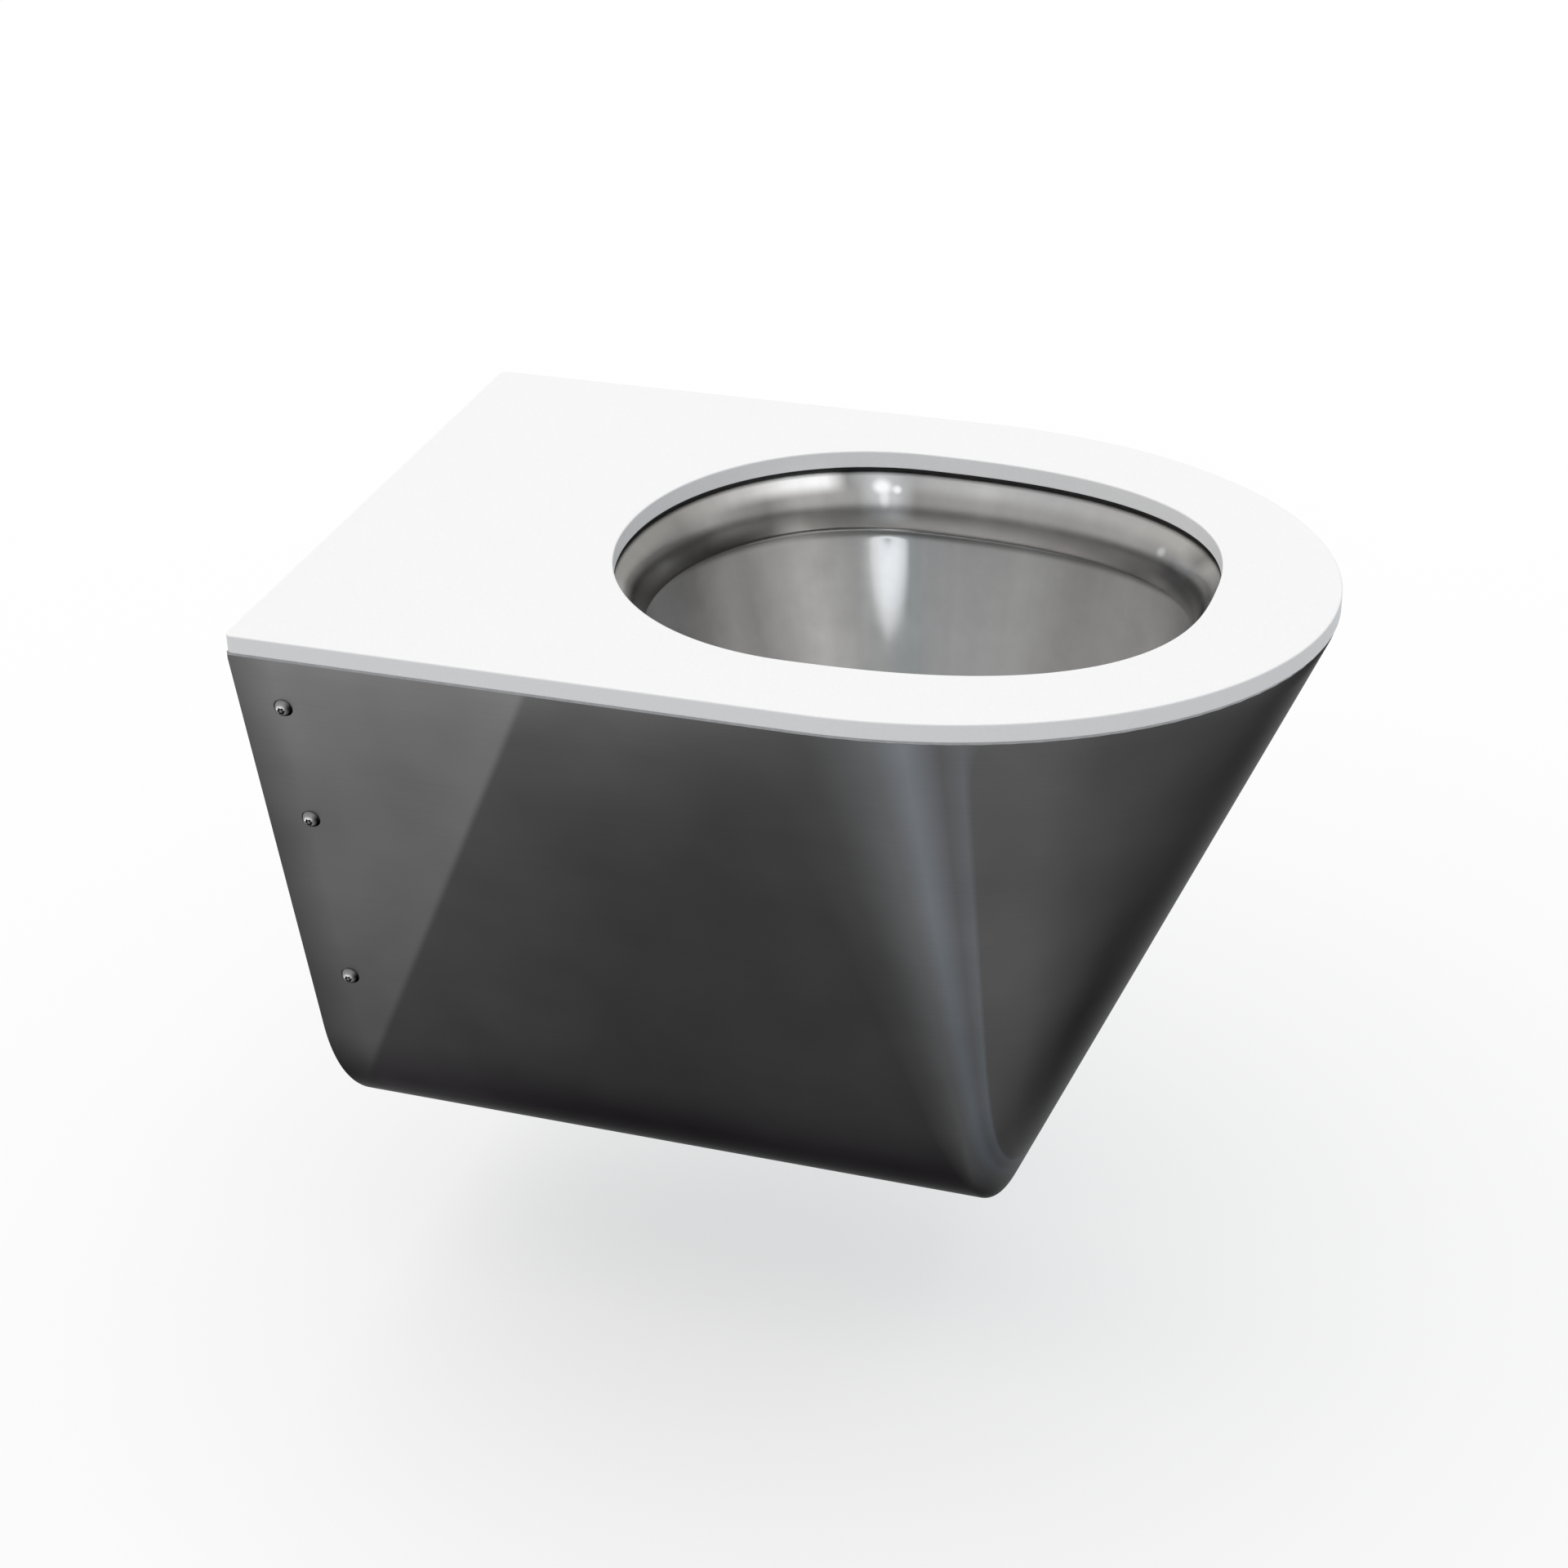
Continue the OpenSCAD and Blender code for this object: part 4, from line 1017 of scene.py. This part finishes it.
def makeScrews():
    s = screwSet
    count = s["around"]
    a = np.linspace(0, 2 * math.pi, count, endpoint=False)
    head = screwRings(a)
    rows = len(head)
    along = np.array([0, 1, 0])
    points, faces = [], []
    for side in (-1, 1):
        out = np.array([side * math.cos(sideLean), 0, -math.sin(sideLean)])
        turned = head[..., :1] * along + head[..., 1:2] * np.cross(out, along) + head[..., 2:] * out
        for share in s["drops"]:
            z = panShape["top"] - panShape["height"] * share
            x = (shellSet["bellyRadius"] + (z - bellyZ) * math.sin(sideLean)) / math.cos(sideLean)
            start = len(points)
            points.extend((turned + (side * x, -s["fromWall"], z)).reshape(-1, 3))
            faces += rowFaces(rows, count, start)
            faces.append([start + i for i in range(count)][::-1])
            faces.append([start + (rows - 1) * count + i for i in range(count)])
    piece = makeMesh("side_screw_set", points, faces)
    profile = piece.data.uv_layers.new(name="profile")
    # second coordinate: how far each point of a head faces the painted light
    turn = math.radians(s["litTurn"])
    for loop in piece.data.loops:
        row, column = divmod(loop.vertex_index, count)
        side = -1 if row < rows * len(s["drops"]) else 1
        lit = 0.5 + 0.5 * math.cos(a[column] - side * turn)
        profile.data[loop.index].uv = (row % rows / (rows - 1), lit)
    return piece


# Cold headed and tumbled stainless (screws): a grey dome with painted light and shade, lit on one side and
# dark on the other, a painted highlight near the socket, a dark foot and a dark socket in painted shade, a
# pale edge round the socket and a pale pin
def coldHeadedStainless():
    material, tree, surface = startMaterial("stainless_cold_headed_tumbled")
    s = screwSet
    place = addNode(tree, "ShaderNodeTexCoord").outputs["Object"]
    profile = addNode(tree, "ShaderNodeUVMap", {"uv_map": "profile"}).outputs[0]
    profile = addNode(tree, "ShaderNodeSeparateXYZ", None, {0: profile}).outputs
    shade, lit = [addNode(tree, "ShaderNodeValToRGB", {"stops": s[key]}, {"Fac": profile["X"]}).outputs[0]
                  for key in ("shadeTones", "litTones")]
    low, high = s["litShares"]
    share = addNode(tree, "ShaderNodeMapRange", {
        "interpolation_type": "SMOOTHSTEP", "From Min": low, "From Max": high}, {"Value": profile["Y"]})
    tone = addNode(tree, "ShaderNodeMix", {"data_type": "RGBA"},
                   {"Factor": share.outputs[0], "A": shade, "B": lit}).outputs["Result"]
    grain = addNode(tree, "ShaderNodeTexNoise", {"Scale": 1 / (s["grainSize"] * mm), "Detail": 2.0},
                    {"Vector": place})
    wobble = addNode(tree, "ShaderNodeMapRange", {
        "To Min": 1 - s["grainStrength"], "To Max": 1 + s["grainStrength"]}, {"Value": grain.outputs[0]})
    toned = addNode(tree, "ShaderNodeVectorMath", {"operation": "SCALE"},
                    {0: tone, "Scale": wobble.outputs[0]})
    setNode(tree, surface, {"Metallic": 1.0, "Roughness": s["roughness"],
                            "Specular Tint": hexColour(s["edgeTint"])}, {"Base Color": toned.outputs[0]})
    return material


screws = makeScrews()
finishMesh(screws, coldHeadedStainless(), "polished_steel", "side_screws",
           sharpDegrees=screwSet["sharpAngle"])
print("side screws made")

# Finishes of the parts that keep their drawn shape
plainFinishes = {
    # EPDM rubber, moulded: dull black with a grey bloom
    "rubber": {"name": "epdm_rubber_moulded", "tones": ("#141414", "#1e1e1e"), "grain": (2, 2, 2),
               "roughness": 0.75, "metallic": 0.0, "bump": 0.1},
    # Brass, turned: warm yellow with fine rings
    "brass": {"name": "brass_turned", "tones": ("#c49a4e", "#d4ae62"), "grain": (6, 6, 0.4),
              "roughness": 0.3, "metallic": 1.0, "bump": 0.05},
    # Stainless, cold headed: even bright grey
    "fastener": {"name": "stainless_cold_headed", "tones": ("#b2b3b5", "#c4c5c7"), "grain": (2, 2, 2),
                 "roughness": 0.3, "metallic": 1.0, "bump": 0.05},
    # Stainless sheet and tube as rolled: cool dull grey with faint long rolling lines
    "satin_steel": {"name": "stainless_cold_rolled", "tones": ("#8e9092", "#9a9c9e"), "grain": (60, 4, 4),
                    "roughness": 0.38, "metallic": 1.0, "bump": 0.05},
    # Steel, zinc plated: light blue-grey with a soft spangle
    "zinc_steel": {"name": "steel_zinc_plated", "tones": ("#a2a7ac", "#b6babf"), "grain": (9, 9, 9),
                   "roughness": 0.45, "metallic": 1.0, "bump": 0.08},
    # Bitumen sheet, pressed: near black, slightly pebbled
    "damping": {"name": "bitumen_sheet_pressed", "tones": ("#1c1c1c", "#262626"), "grain": (3, 3, 3),
                "roughness": 0.85, "metallic": 0.0, "bump": 0.4},
    # Polyethylene foam, skived: dark grey with open fine cells
    "foam": {"name": "polyethylene_foam_skived", "tones": ("#303234", "#3c3e40"), "grain": (1.5, 1.5, 1.5),
             "roughness": 0.9, "metallic": 0.0, "bump": 0.5},
    # Nylon, moulded: milky off-white with a soft gloss
    "nylon": {"name": "nylon_moulded_natural", "tones": ("#e4e2da", "#ebe9e2"), "grain": (4, 4, 4),
              "roughness": 0.42, "metallic": 0.0, "bump": 0.05},
}
slotMaterials = {slot: evenMaterial(s) for slot, s in plainFinishes.items()}
for part in frame["record"]["subparts"]:
    piece = frame["nodes"][part["node"]]
    if part["material_slot"] in slotMaterials:
        if not piece.material_slots:
            piece.data.materials.append(None)
        for place in piece.material_slots:
            place.material = slotMaterials[part["material_slot"]]
print("drawn parts dressed")
